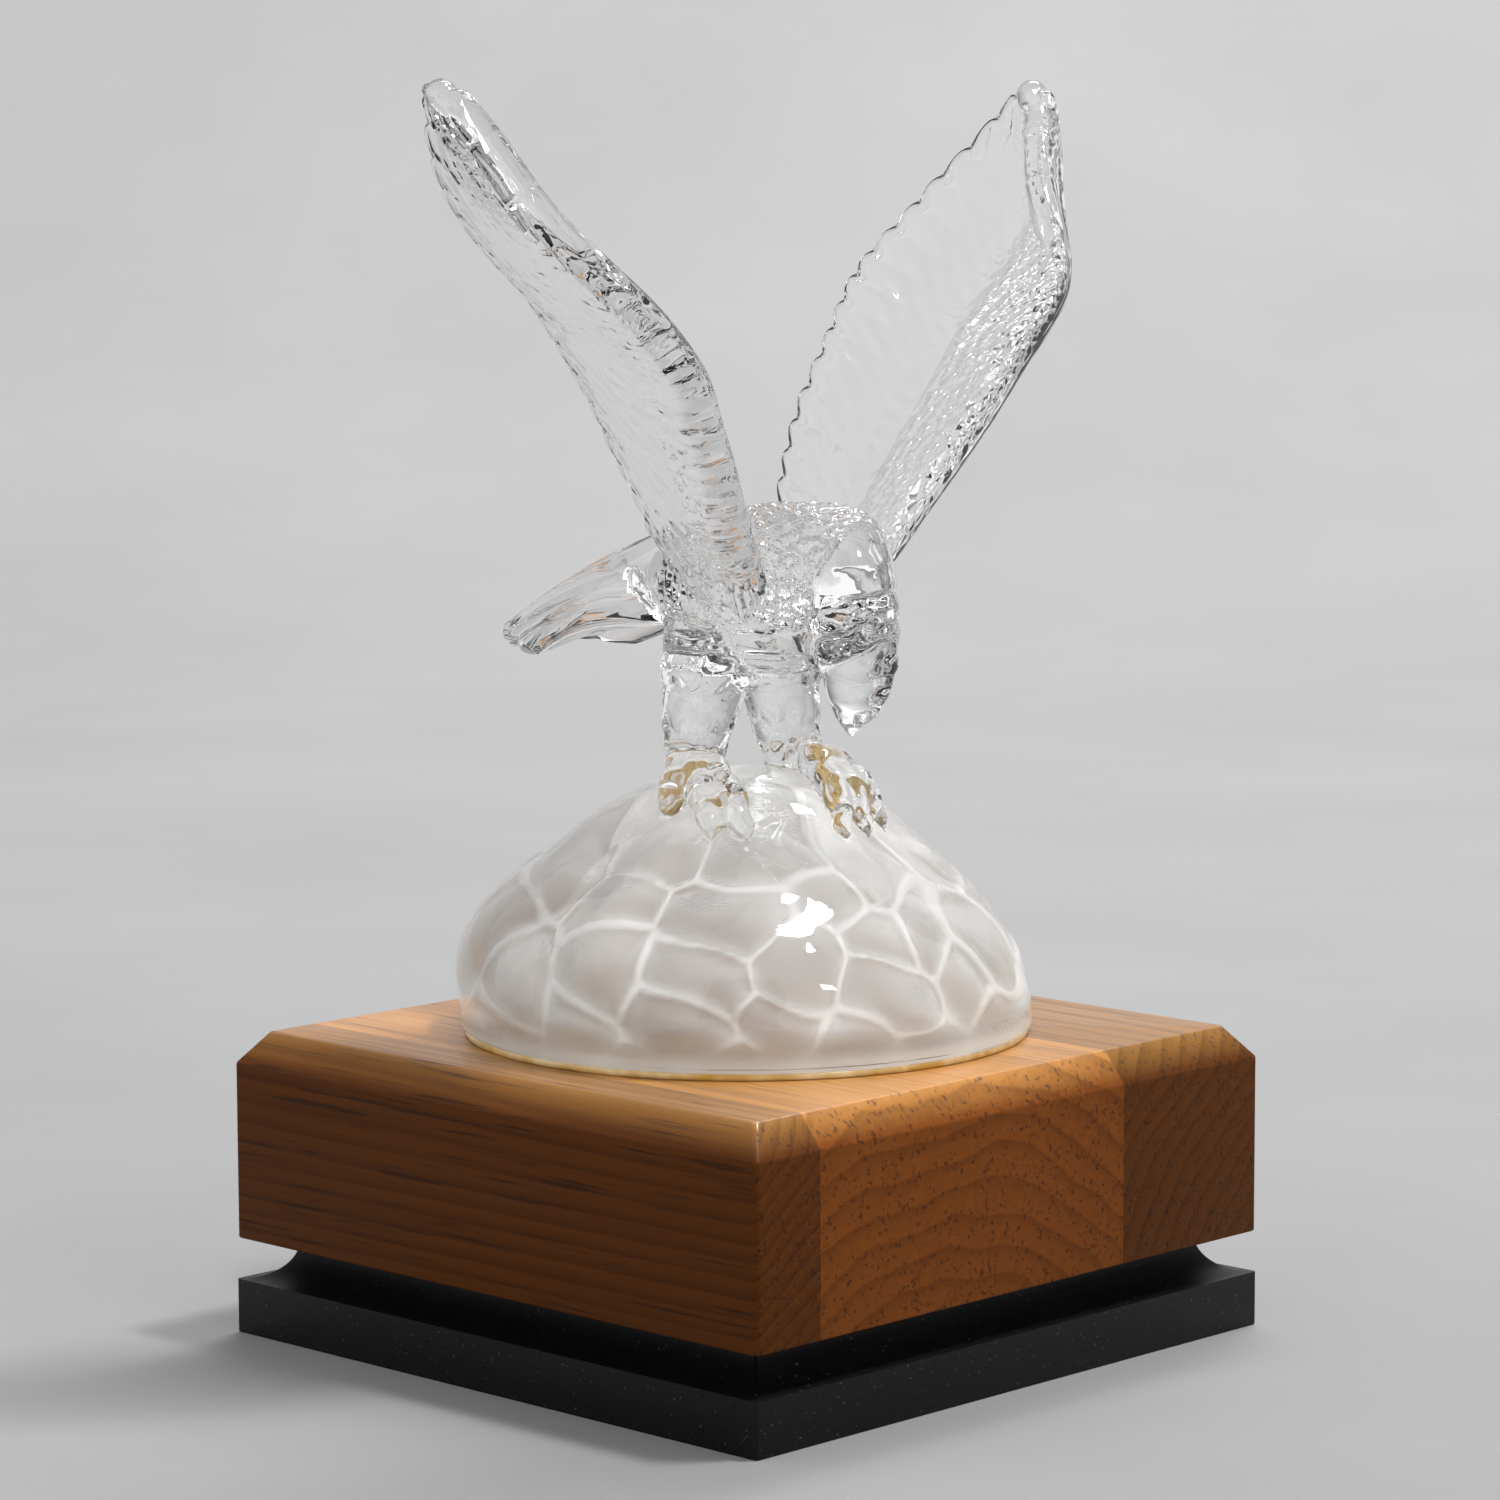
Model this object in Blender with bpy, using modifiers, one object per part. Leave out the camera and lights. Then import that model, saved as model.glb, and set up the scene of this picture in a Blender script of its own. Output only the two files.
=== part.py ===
"""Crystal eagle figurine on a walnut plinth: Blender 4.5, metres, +Z up.

The eagle and its rock mound are one casting of clear lead crystal, hollow under the mound. An adhesive ring
holds it on a block glued up from three walnut boards, and the block stands on a black foot with a cove.
The eagle faces -Y. Its right side is -X. The origin is the middle of the foot's underside.
"""

import math

import bmesh
import bpy
import numpy as np

# Plinth, in metres
PLINTH_SIDE = 0.1524
FOOT_HEIGHT = 0.0203
COVE_RADIUS = 0.0088
COVE_LEDGE = 0.0006
BLOCK_HEIGHT = 0.0438
CHAMFER_WIDTH = 0.0052
CHAMFER_HEIGHT = 0.0066
NARROW_BOARD = 0.0178
RIGHT_BOARD = 0.0439
CORNER_ROUNDING = 0.0012
CORNER_STEPS = 3
COVE_STEPS = 48
SEAT_GAP = 0.0003
MERGE_DISTANCE = 0.00002

# Adhesive ring and crystal, in metres
ADHESIVE_THICKNESS = 0.0006
ADHESIVE_INSET = 0.0009
ADHESIVE_STEPS = 60
RIM_ROUNDING = 0.0016
MOUND_WALL = 0.0065
RIM_WIDTH = 0.0075
RIM_STEPS = 3
CRYSTAL_HEIGHT = 0.1985

# The figure's carving is written in shares of the crystal's height, 198.5 to the whole
CARVING_UNITS = 198.5
UNIT = CRYSTAL_HEIGHT / CARVING_UNITS
MOUND_RADIUS = 60.0 * UNIT
WELD_DISTANCE = 0.03 * UNIT
CHIP_VERTICES = 20

# Mound: shares of its radius and heights in carving units, from the rim up to the crown
MOUND_PROFILE = (
    (1.000, 6.0), (0.992, 12.0), (0.955, 18.5), (0.880, 25.3), (0.775, 31.6), (0.660, 37.5),
    (0.560, 42.6), (0.455, 47.0), (0.330, 50.8), (0.210, 53.0), (0.100, 54.0),
)
MOUND_CROWN = 54.4
MOUND_LEAN = (-2.0, 2.0)
ROCK_FACETS = 13
ROCK_RELIEF = 1.1
ROCK_SWIRL = 2.1
ROCK_BANDS = 2.9
FACET_SHARE = 0.65
SLABS = 3
SLAB_RISE = 5.0
SLAB_START = 0.7
CROWN_STILL = 3.0
MOUND_STEPS = 52

# Cavity: its crown and sides lie this many walls inside the mound, and its facets are softer
CAVITY_CROWN_WALLS = 1.5
CAVITY_SIDE_WALLS = 0.75
CAVITY_RELIEF = 0.6
CAVITY_STEPS = 36

# Body rings square to the spine: forward, up, half width, half depth
BODY = (
    (-29.0, 94.5, 3.0, 2.5), (-26.0, 94.0, 6.5, 6.0), (-19.0, 92.5, 10.0, 9.5), (-9.0, 91.5, 13.0, 14.0),
    (2.0, 91.5, 15.5, 17.0), (12.0, 92.0, 16.5, 18.0), (20.0, 93.5, 15.5, 16.5), (26.0, 95.0, 12.5, 13.0),
    (29.5, 96.0, 8.5, 8.5), (31.0, 96.5, 3.5, 3.5),
)
BODY_SIDES = 24

# Bowed head and beak, level rings from the nape down: forward, up, half width, half length
HEAD = (
    (19.5, 110.0, 3.0, 4.0), (21.0, 108.7, 8.0, 9.5), (24.0, 104.0, 10.5, 12.2), (26.8, 98.5, 10.6, 11.6),
    (28.4, 94.6, 10.2, 11.0), (28.9, 92.6, 9.0, 9.8), (29.6, 90.8, 9.5, 10.3), (30.8, 86.0, 8.8, 9.6),
    (31.1, 83.8, 7.8, 8.6), (31.5, 82.0, 8.2, 9.1), (31.8, 78.0, 7.6, 8.5), (32.0, 75.6, 6.4, 7.4),
    (32.1, 74.0, 6.5, 7.4), (31.6, 69.6, 4.7, 5.6), (30.8, 66.4, 3.0, 3.6), (30.1, 64.4, 1.7, 2.0),
    (29.8, 63.0, 0.6, 0.7),
)
HEAD_SIDES = 18

# Wing edges, the left wing: out to the side, forward, up
WING_LEAD = (
    (4.0, 13.0, 84.0), (13.0, 17.0, 91.0), (20.6, 20.6, 99.5), (26.8, 23.4, 108.0), (33.8, 27.0, 118.0),
    (41.0, 30.1, 128.2), (47.2, 32.4, 137.5), (55.4, 33.0, 146.0), (62.6, 31.8, 153.0), (68.9, 27.8, 160.0),
    (73.1, 22.5, 166.6), (76.6, 17.4, 174.3), (80.2, 13.5, 182.4), (84.2, 9.7, 189.6), (87.6, 6.2, 195.6),
)
WING_TRAIL = (
    (4.0, -9.0, 92.0), (13.0, -9.0, 98.0), (18.7, -9.3, 105.5), (22.2, -10.7, 113.8), (26.4, -12.2, 121.9),
    (31.1, -12.8, 130.7), (37.1, -13.2, 139.3), (42.6, -14.0, 147.0), (48.6, -14.9, 154.5), (56.3, -15.3, 161.0),
    (65.2, -14.0, 168.1), (73.0, -11.8, 175.6), (80.4, -7.4, 184.0), (86.3, -2.2, 192.6), (88.6, 0.8, 197.2),
)
WING_FEATHERS = 17
WING_COLUMNS_PER_FEATHER = 3
WING_ROWS = 8
WING_SWEEP = 1.35
WING_CAMBER = 3.0
WING_ROOT_THICKNESS = 9.0
WING_TIP_THICKNESS = 6.6
NOSE_SHARE = 0.12
NOSE_LEAST = 0.06
WING_FALL = 0.75
COVERT_SHARE = 0.4
COVERT_STEP = 0.8

# Feathers of the wings and tail; the crown of each begins at a share of its length
FEATHER_EDGE = 1.8
FEATHER_SCALLOP = 2.0
SCALLOP_MIDDLE = 0.6
FEATHER_CROWN = 0.6
CROWN_START = 0.3
CROWN_RUN = 0.4

# Tail fan, arched over the rump and flat at its tip: forward, up at its middle
TAIL_FEATHERS = 9
TAIL_COLUMNS_PER_FEATHER = 3
TAIL_ROWS = 6
TAIL_ROOT = (-12.0, 101.5)
TAIL_END = (-70.5, 77.8)
TAIL_ROOT_HALF = 8.0
TAIL_END_HALF = 15.0
TAIL_ROOT_DROP = 17.5
TAIL_END_DROP = 2.6
TAIL_ROUNDING = 22.0
TAIL_THICKNESS = 5.5
TAIL_CAMBER = 2.0
TAIL_SIDE_CAMBER = 2.6
TAIL_SIDE_THINNING = 0.55
TAIL_FALL = 0.8

# Legs: out, forward, up, radius. Toe ends of each foot: out, forward, radius
LEG = (
    (7.6, 0.0, 84.0, 12.0), (9.5, -1.5, 76.0, 9.8), (10.6, -2.5, 69.0, 8.2), (11.2, -3.2, 63.0, 7.2),
    (12.0, -3.4, 58.0, 6.2), (12.9, -3.2, 54.0, 5.6), (13.2, -2.6, 48.0, 6.0),
)
RIGHT_TOES = ((27.0, 4.1, 3.3), (27.5, 17.0, 2.8), (23.5, 23.0, 2.8), (6.0, -14.0, 2.6))
LEFT_TOES = ((-4.5, 33.2, 2.0), (2.0, 33.3, 2.0), (9.0, 31.3, 2.0), (16.0, -8.0, 2.6))
LEG_SIDES = 14
ANKLE = (13.2, -2.8)
LEFT_STRIDE = 8.0
TOE_RADIUS = 3.8
TOE_LIFT = 0.55
KNUCKLE_RISE = 1.6
CLAW_DIP = 0.7
TOE_SIDES = 8
TOE_STEPS = 6

# Faces that meet at more than this angle keep a hard edge, in degrees
CRYSTAL_HARD_EDGE = 50
FOOT_HARD_EDGE = 30


def block_top():
    return FOOT_HEIGHT + SEAT_GAP + BLOCK_HEIGHT


def crystal_base():
    return block_top() + SEAT_GAP + ADHESIVE_THICKNESS + SEAT_GAP


def clear_scene():
    for thing in list(bpy.data.objects):
        bpy.data.objects.remove(thing, do_unlink=True)


def new_collection(name):
    collection = bpy.data.collections.new(name)
    bpy.context.scene.collection.children.link(collection)
    return collection


def make_material(name, colour, roughness, transmission=0.0, ior=1.5):
    material = bpy.data.materials.new(name)
    material.use_nodes = True
    shader = material.node_tree.nodes["Principled BSDF"]
    shader.inputs["Base Color"].default_value = (*colour, 1.0)
    shader.inputs["Roughness"].default_value = roughness
    shader.inputs["Metallic"].default_value = 0.0
    shader.inputs["Transmission Weight"].default_value = transmission
    shader.inputs["IOR"].default_value = ior
    return material


def object_from(name, mesh, collection, material=None):
    thing = bpy.data.objects.new(name, mesh)
    if material:
        mesh.materials.append(material)
    collection.objects.link(thing)
    return thing


def evaluated_mesh(thing):
    graph = bpy.context.evaluated_depsgraph_get()
    return bpy.data.meshes.new_from_object(thing.evaluated_get(graph))


def mark_cutter(thing):
    thing.hide_render = True
    thing.display_type = "WIRE"


def smooth_points(points, at):
    """Catmull-Rom curve through points, read at each value of at, from 0 to 1."""
    points = np.asarray(points, float)
    padded = np.vstack([2 * points[0] - points[1], points, 2 * points[-1] - points[-2]])
    place = np.clip(np.asarray(at, float), 0, 1) * (len(points) - 1)
    span = np.minimum(place.astype(int), len(points) - 2)
    t = (place - span)[:, None]
    before, start, end, after = (padded[span + k] for k in range(4))
    return 0.5 * (
        2 * start
        + (end - before) * t
        + (2 * before - 5 * start + 4 * end - after) * t**2
        + (3 * start - before - 3 * end + after) * t**3
    )


def loft(name, rings, collection):
    """A closed skin over rings of equal count, each end closed by a fan about its middle."""
    bm = bmesh.new()
    rows = [[bm.verts.new(point) for point in ring] for ring in rings]
    count = len(rows[0])
    for low, high in zip(rows, rows[1:]):
        for i in range(count):
            j = (i + 1) % count
            bm.faces.new((low[i], low[j], high[j], high[i]))
    for row in (rows[0], rows[-1]):
        middle = bm.verts.new(np.mean([tuple(v.co) for v in row], axis=0))
        for i in range(count):
            bm.faces.new((row[i], row[(i + 1) % count], middle))
    bmesh.ops.recalc_face_normals(bm, faces=bm.faces)
    mesh = bpy.data.meshes.new(name)
    bm.to_mesh(mesh)
    bm.free()
    return object_from(name, mesh, collection)


def eagle_to_world(out, forward, up):
    """Carving units in the figure's own directions to metres in the part's frame."""
    return np.stack(
        [
            np.asarray(out, float) * UNIT,
            -np.asarray(forward, float) * UNIT,
            crystal_base() + np.asarray(up, float) * UNIT,
        ],
        axis=-1,
    )


def turned(name, profile, steps, collection):
    """A profile of (radius, height) points, from the top of the outside down, turned about Z."""
    mesh = bpy.data.meshes.new(name)
    points = [(radius, 0, height) for radius, height in profile]
    mesh.from_pydata(points, [(i, i + 1) for i in range(len(points) - 1)], [])
    thing = object_from(name, mesh, collection)
    screw = thing.modifiers.new("Turn", "SCREW")
    screw.steps = screw.render_steps = steps
    screw.use_merge_vertices = True
    screw.merge_threshold = MERGE_DISTANCE / 2
    return thing


def rock_relief(point):
    """How far the rock's soft facets push a point of the mound out, as a share of ROCK_RELIEF."""
    angle = math.atan2(point[1], point[0])
    height = (point[2] - crystal_base()) / (MOUND_CROWN * UNIT)
    swirl = angle + ROCK_SWIRL * height
    ribs = math.sin(ROCK_FACETS / 2 * (swirl + math.sin(angle)))
    facets = ribs * math.cos(ROCK_BANDS * math.pi * height + SLABS * swirl)
    slabs = math.sin(SLABS * angle + SLAB_RISE * height + SLAB_START)
    fade = math.sin(math.pi * min(max(height * 1.08 - 0.06, 0), 1))
    return (FACET_SHARE * facets + (1 - FACET_SHARE) * slabs) * fade


def roughen(mesh, depth):
    """Moves a turned rock's vertices out and in by its facets."""
    for vertex in mesh.vertices:
        radius = math.hypot(vertex.co.x, vertex.co.y)
        if radius < CROWN_STILL * UNIT:
            continue
        push = 1 + depth * UNIT * rock_relief(vertex.co) / radius
        share = (vertex.co.z - crystal_base()) / (MOUND_CROWN * UNIT)
        lean = math.sin(math.pi * min(max(share, 0), 1)) ** 2
        vertex.co.x = vertex.co.x * push + MOUND_LEAN[0] * UNIT * lean
        vertex.co.y = vertex.co.y * push + MOUND_LEAN[1] * UNIT * lean


def turned_rock(name, profile, steps, depth, collection):
    source = turned(name + "_profile", profile, steps, collection)
    mesh = evaluated_mesh(source)
    bpy.data.objects.remove(source, do_unlink=True)
    roughen(mesh, depth)
    bm = bmesh.new()
    bm.from_mesh(mesh)
    bmesh.ops.remove_doubles(bm, verts=bm.verts, dist=MERGE_DISTANCE)
    bmesh.ops.recalc_face_normals(bm, faces=bm.faces)
    bm.to_mesh(mesh)
    bm.free()
    return object_from(name, mesh, collection)


def make_mound(collection):
    base = crystal_base()
    outside = [(0.0, base + MOUND_CROWN * UNIT)]
    for share, up in reversed(MOUND_PROFILE):
        outside.append((share * MOUND_RADIUS, base + up * UNIT))
    for step in range(1, RIM_STEPS + 1):
        turn = math.pi / 2 * step / RIM_STEPS
        outside.append(
            (
                MOUND_RADIUS - RIM_ROUNDING * (1 - math.cos(turn)),
                base + RIM_ROUNDING * (1 - math.sin(turn)),
            )
        )
    outside.append((0.0, base))
    return turned_rock("mound", outside, MOUND_STEPS, ROCK_RELIEF, collection)


def make_cavity(collection):
    """The hollow under the mound: the mound's outline less the wall, open at the bottom."""
    base = crystal_base()
    foot = MOUND_RADIUS - RIM_WIDTH
    inside = [(0.0, base + MOUND_CROWN * UNIT - CAVITY_CROWN_WALLS * MOUND_WALL)]
    for share, up in reversed(MOUND_PROFILE[1:-1:2]):
        radius = min(share * MOUND_RADIUS - CAVITY_SIDE_WALLS * MOUND_WALL, foot)
        height = base + up * UNIT - MOUND_WALL
        if height > base + MOUND_WALL:
            inside.append((radius, height))
    inside.append((foot, base + MOUND_WALL))
    inside.append((foot, base - MOUND_WALL))
    inside.append((0.0, base - MOUND_WALL))
    cavity = turned_rock("cavity", inside, CAVITY_STEPS, ROCK_RELIEF * CAVITY_RELIEF, collection)
    mark_cutter(cavity)
    return cavity


def make_body(collection):
    """Rump, back and breast: ellipses square to the spine."""
    forward, up, wide, deep = smooth_points(BODY, np.linspace(0, 1, 2 * len(BODY) - 1)).T
    slope = np.gradient(np.stack([forward, up]), axis=1)
    slope /= np.linalg.norm(slope, axis=0)
    turn = np.linspace(0, 2 * np.pi, BODY_SIDES, endpoint=False)
    rings = []
    for k in range(len(forward)):
        across, rise = np.cos(turn) * wide[k], np.sin(turn) * deep[k]
        rings.append(eagle_to_world(across, forward[k] - slope[1, k] * rise, up[k] + slope[0, k] * rise))
    return loft("body", rings, collection)


def make_head(collection):
    """Nape, brow, cere and hooked beak: level ellipses with a crease under the brow and behind the beak."""
    turn = np.linspace(0, 2 * np.pi, HEAD_SIDES, endpoint=False)
    rings = []
    for forward, up, wide, long in HEAD:
        rings.append(eagle_to_world(np.cos(turn) * wide, forward + np.sin(turn) * long, np.full(HEAD_SIDES, up)))
    return loft("head", rings, collection)


def blade(name, base_edge, end_edge, thickness, feathers, rows, camber, mirror, collection):
    """A feathered blade between two edges: columns run from the base edge to the feather tips.

    thickness gives the blade's depth for shares along the edge and along a feather, and camber gives how far a
    feather bows for its share along the edge. Each column is a closed loop, out along one face and back along
    the other.
    """
    columns = feathers[0] * feathers[1]
    along = np.linspace(0, 1, columns + 1)
    base, end = base_edge(along), end_edge(along)
    phase = (along * feathers[0]) % 1.0
    bulge = np.sin(np.pi * phase)
    reach = end - base
    length = np.linalg.norm(reach, axis=1)[:, None]
    end = end + reach / length * (FEATHER_SCALLOP * (bulge - SCALLOP_MIDDLE))[:, None]
    reach = end - base
    run = np.gradient(0.5 * (base + end), axis=0)
    normal = np.cross(run, reach)
    normal /= np.linalg.norm(normal, axis=1)[:, None]
    share = (1 - np.cos(np.linspace(0, np.pi, rows + 1))) / 2
    loops = []
    for k in range(columns + 1):
        middle = base[k] + reach[k] * share[:, None]
        middle = middle + normal[k] * (camber(along[k]) * np.sin(np.pi * share))[:, None]
        half = 0.5 * thickness(along[k], share)
        crown = FEATHER_CROWN * bulge[k] * np.clip((share - CROWN_START) / CROWN_RUN, 0, 1)
        depth = (half + crown)[:, None] * normal[k]
        loop = np.vstack([middle + depth, (middle - depth)[::-1]])
        loops.append(eagle_to_world(mirror * loop[:, 0], loop[:, 1], loop[:, 2]))
    return loft(name, loops, collection)


def wing_thickness(along, share):
    """Thick and round at the leading edge, a step at the coverts' ends, then thin to the feather tips."""
    full = WING_ROOT_THICKNESS + (WING_TIP_THICKNESS - WING_ROOT_THICKNESS) * along
    nose = np.sqrt(np.clip(1 - (1 - np.clip(share / NOSE_SHARE, 0, 1)) ** 2, NOSE_LEAST, 1))
    fall = 1 - np.clip((share - NOSE_SHARE) / (1 - NOSE_SHARE), 0, 1) ** WING_FALL
    coverts = COVERT_STEP * (share < COVERT_SHARE)
    return nose * (FEATHER_EDGE + (full - FEATHER_EDGE) * fall + coverts)


def make_wing(name, side, collection):
    def lead(along):
        return smooth_points(WING_LEAD, along**WING_SWEEP)

    def trail(along):
        return smooth_points(WING_TRAIL, along)

    def bow(along):
        return WING_CAMBER

    pattern = (WING_FEATHERS, WING_COLUMNS_PER_FEATHER)
    return blade(name, lead, trail, wing_thickness, pattern, WING_ROWS, bow, side, collection)


def tail_edge(place, half, drop, rounding):
    """A cross edge of the tail fan, from its right side to its left."""

    def edge(along):
        across = 2 * along - 1
        forward = place[0] + rounding * across**2
        return np.stack([across * half, forward, place[1] - drop * across**2], axis=1)

    return edge


def tail_thickness(along, share):
    side = 1 - TAIL_SIDE_THINNING * (2 * along - 1) ** 2
    return FEATHER_EDGE + (TAIL_THICKNESS * side - FEATHER_EDGE) * (1 - share) ** TAIL_FALL * side


def tail_camber(along):
    return -TAIL_CAMBER - TAIL_SIDE_CAMBER * (2 * along - 1) ** 2


def make_tail(collection):
    root = tail_edge(TAIL_ROOT, TAIL_ROOT_HALF, TAIL_ROOT_DROP, 0.0)
    end = tail_edge(TAIL_END, TAIL_END_HALF, TAIL_END_DROP, TAIL_ROUNDING)
    pattern = (TAIL_FEATHERS, TAIL_COLUMNS_PER_FEATHER)
    return blade("tail", root, end, tail_thickness, pattern, TAIL_ROWS, tail_camber, 1, collection)


def tube(name, path, sides, collection):
    """A round limb along points of (out, forward, up, radius)."""
    path = np.asarray(path, float)
    heading = np.gradient(path[:, :3], axis=0)
    heading /= np.linalg.norm(heading, axis=1)[:, None]
    turn = np.linspace(0, 2 * np.pi, sides, endpoint=False)
    rings = []
    for point, ahead in zip(path, heading):
        spare = np.array([0.0, 0.0, 1.0]) if abs(ahead[2]) < 0.8 else np.array([0.0, 1.0, 0.0])
        across = np.cross(ahead, spare)
        across /= np.linalg.norm(across)
        rise = np.cross(across, ahead)
        ring = point[:3] + point[3] * (np.outer(np.cos(turn), across) + np.outer(np.sin(turn), rise))
        rings.append(eagle_to_world(ring[:, 0], ring[:, 1], ring[:, 2]))
    return loft(name, rings, collection)


def mound_height(out, forward):
    """The mound's height in carving units under a point of the figure."""
    share = math.hypot(out, forward) * UNIT / MOUND_RADIUS
    shares = [0.0] + [row[0] for row in reversed(MOUND_PROFILE)]
    heights = [MOUND_CROWN] + [row[1] for row in reversed(MOUND_PROFILE)]
    return float(np.interp(share, shares, heights))


def stride(side):
    """The left foot stands ahead of the right one."""
    return LEFT_STRIDE if side > 0 else 0.0


def leg_path(side):
    """From the hip down to the ankle."""
    path = []
    for number, (out, forward, up, radius) in enumerate(LEG):
        ahead = stride(side) * number / (len(LEG) - 1)
        path.append((side * out, forward + ahead, up, radius))
    return path


def toe_path(end, side):
    """From the ankle over a knuckle and down the rock to the claw."""
    heel = ANKLE[1] + stride(side)
    path = []
    for step in range(TOE_STEPS + 1):
        share = step / TOE_STEPS
        out = ANKLE[0] + (end[0] - ANKLE[0]) * share
        forward = heel + (end[1] - heel) * share
        radius = TOE_RADIUS + (end[2] - TOE_RADIUS) * share**3
        lift = TOE_LIFT * radius + KNUCKLE_RISE * math.sin(math.pi * share) - CLAW_DIP * share**3
        path.append((side * out, forward, mound_height(out, forward) + lift, radius))
    return path


def join_all(body, pieces, operation, solver="EXACT"):
    """Applies one Boolean after another to body and removes the pieces used."""
    for piece in pieces:
        modifier = body.modifiers.new("Cut", "BOOLEAN")
        modifier.operation = operation
        modifier.object = piece
        modifier.solver = solver
        mesh = evaluated_mesh(body)
        body.modifiers.clear()
        body.data = mesh
    for piece in pieces:
        bpy.data.objects.remove(piece, do_unlink=True)
    return body


def drop_slivers(bm):
    """Removes the loose chips of a few vertices that a join can leave."""
    left = set(bm.verts)
    while left:
        group, queue = set(), [next(iter(left))]
        while queue:
            vertex = queue.pop()
            if vertex in group:
                continue
            group.add(vertex)
            queue.extend(edge.other_vert(vertex) for edge in vertex.link_edges)
        left -= group
        if len(group) < CHIP_VERTICES:
            bmesh.ops.delete(bm, geom=list(group), context="VERTS")


def weld(thing):
    """Merges the hair-thin edges that the joins leave, by the widest distance that keeps the skin closed."""
    for distance in (WELD_DISTANCE, WELD_DISTANCE / 3, WELD_DISTANCE / 30):
        bm = bmesh.new()
        bm.from_mesh(thing.data)
        drop_slivers(bm)
        bmesh.ops.remove_doubles(bm, verts=bm.verts, dist=distance)
        bmesh.ops.dissolve_degenerate(bm, edges=bm.edges, dist=distance / 3)
        bmesh.ops.triangulate(bm, faces=bm.faces)
        closed = all(len(edge.link_faces) == 2 for edge in bm.edges)
        if closed:
            bmesh.ops.recalc_face_normals(bm, faces=bm.faces)
            bm.to_mesh(thing.data)
        bm.free()
        if closed:
            return


def make_crystal(collection, cutters, material):
    crystal = make_mound(collection)
    limbs = [make_body(cutters), make_head(cutters), make_tail(cutters)]
    for side, word, toes in ((1, "left", LEFT_TOES), (-1, "right", RIGHT_TOES)):
        limbs.append(make_wing(f"{word}_wing", side, cutters))
        leg = leg_path(side)
        limbs.append(tube(f"{word}_leg", leg, LEG_SIDES, cutters))
        for number, end in enumerate(toes):
            limbs.append(tube(f"{word}_toe_{number}", toe_path(end, side), TOE_SIDES, cutters))
    join_all(crystal, limbs, "UNION", "MANIFOLD")
    join_all(crystal, [make_cavity(cutters)], "DIFFERENCE", "MANIFOLD")
    weld(crystal)
    crystal.name = "crystal_eagle"
    crystal.data.name = "crystal_eagle"
    crystal.data.materials.clear()
    crystal.data.materials.append(material)
    crystal.data.shade_smooth()
    crystal.data.set_sharp_from_angle(angle=math.radians(CRYSTAL_HARD_EDGE))
    return crystal


def square_ring(half, height):
    """A square with small rounded corners."""
    inner = half - CORNER_ROUNDING
    ring = []
    for quarter in range(4):
        for step in range(CORNER_STEPS + 1):
            turn = math.radians(90 * (quarter + step / CORNER_STEPS))
            middle = math.radians(90 * quarter + 45)
            ring.append(
                (
                    math.copysign(inner, math.cos(middle)) + CORNER_ROUNDING * math.cos(turn),
                    math.copysign(inner, math.sin(middle)) + CORNER_ROUNDING * math.sin(turn),
                    height,
                )
            )
    return ring


def make_block(collection):
    """The whole block before it is parted into its boards, with the wide chamfer round its top."""
    half = PLINTH_SIDE / 2
    rings = [
        square_ring(half, FOOT_HEIGHT + SEAT_GAP),
        square_ring(half, block_top() - CHAMFER_HEIGHT),
        square_ring(half - CHAMFER_WIDTH, block_top()),
    ]
    return loft("block", rings, collection)


def make_board(name, block, start, end, collection, material):
    """The stretch of the block between two glue lines."""
    bm = bmesh.new()
    bm.from_mesh(block.data)
    for place, facing in ((start, -1), (end, 1)):
        cut = bmesh.ops.bisect_plane(
            bm,
            geom=bm.verts[:] + bm.edges[:] + bm.faces[:],
            plane_co=(place, 0, 0),
            plane_no=(facing, 0, 0),
            clear_outer=True,
        )
        edges = [piece for piece in cut["geom_cut"] if isinstance(piece, bmesh.types.BMEdge)]
        if edges:
            bmesh.ops.edgeloop_fill(bm, edges=edges)
    bmesh.ops.dissolve_limit(bm, angle_limit=0.001, verts=bm.verts, edges=bm.edges)
    bmesh.ops.recalc_face_normals(bm, faces=bm.faces)
    mesh = bpy.data.meshes.new(name)
    bm.to_mesh(mesh)
    bm.free()
    return object_from(name, mesh, collection, material)


def make_boards(collection, cutters, materials):
    block = make_block(cutters)
    half = PLINTH_SIDE / 2
    lines = (-half, -half + NARROW_BOARD, half - RIGHT_BOARD, half)
    names = ("walnut_board_narrow", "walnut_board_middle", "walnut_board_right")
    for name, start, end, material in zip(names, lines, lines[1:], materials):
        inner_start = start + SEAT_GAP / 2 if start > -half else start - SEAT_GAP
        inner_end = end - SEAT_GAP / 2 if end < half else end + SEAT_GAP
        make_board(name, block, inner_start, inner_end, collection, material)
    bpy.data.objects.remove(block, do_unlink=True)


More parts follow.
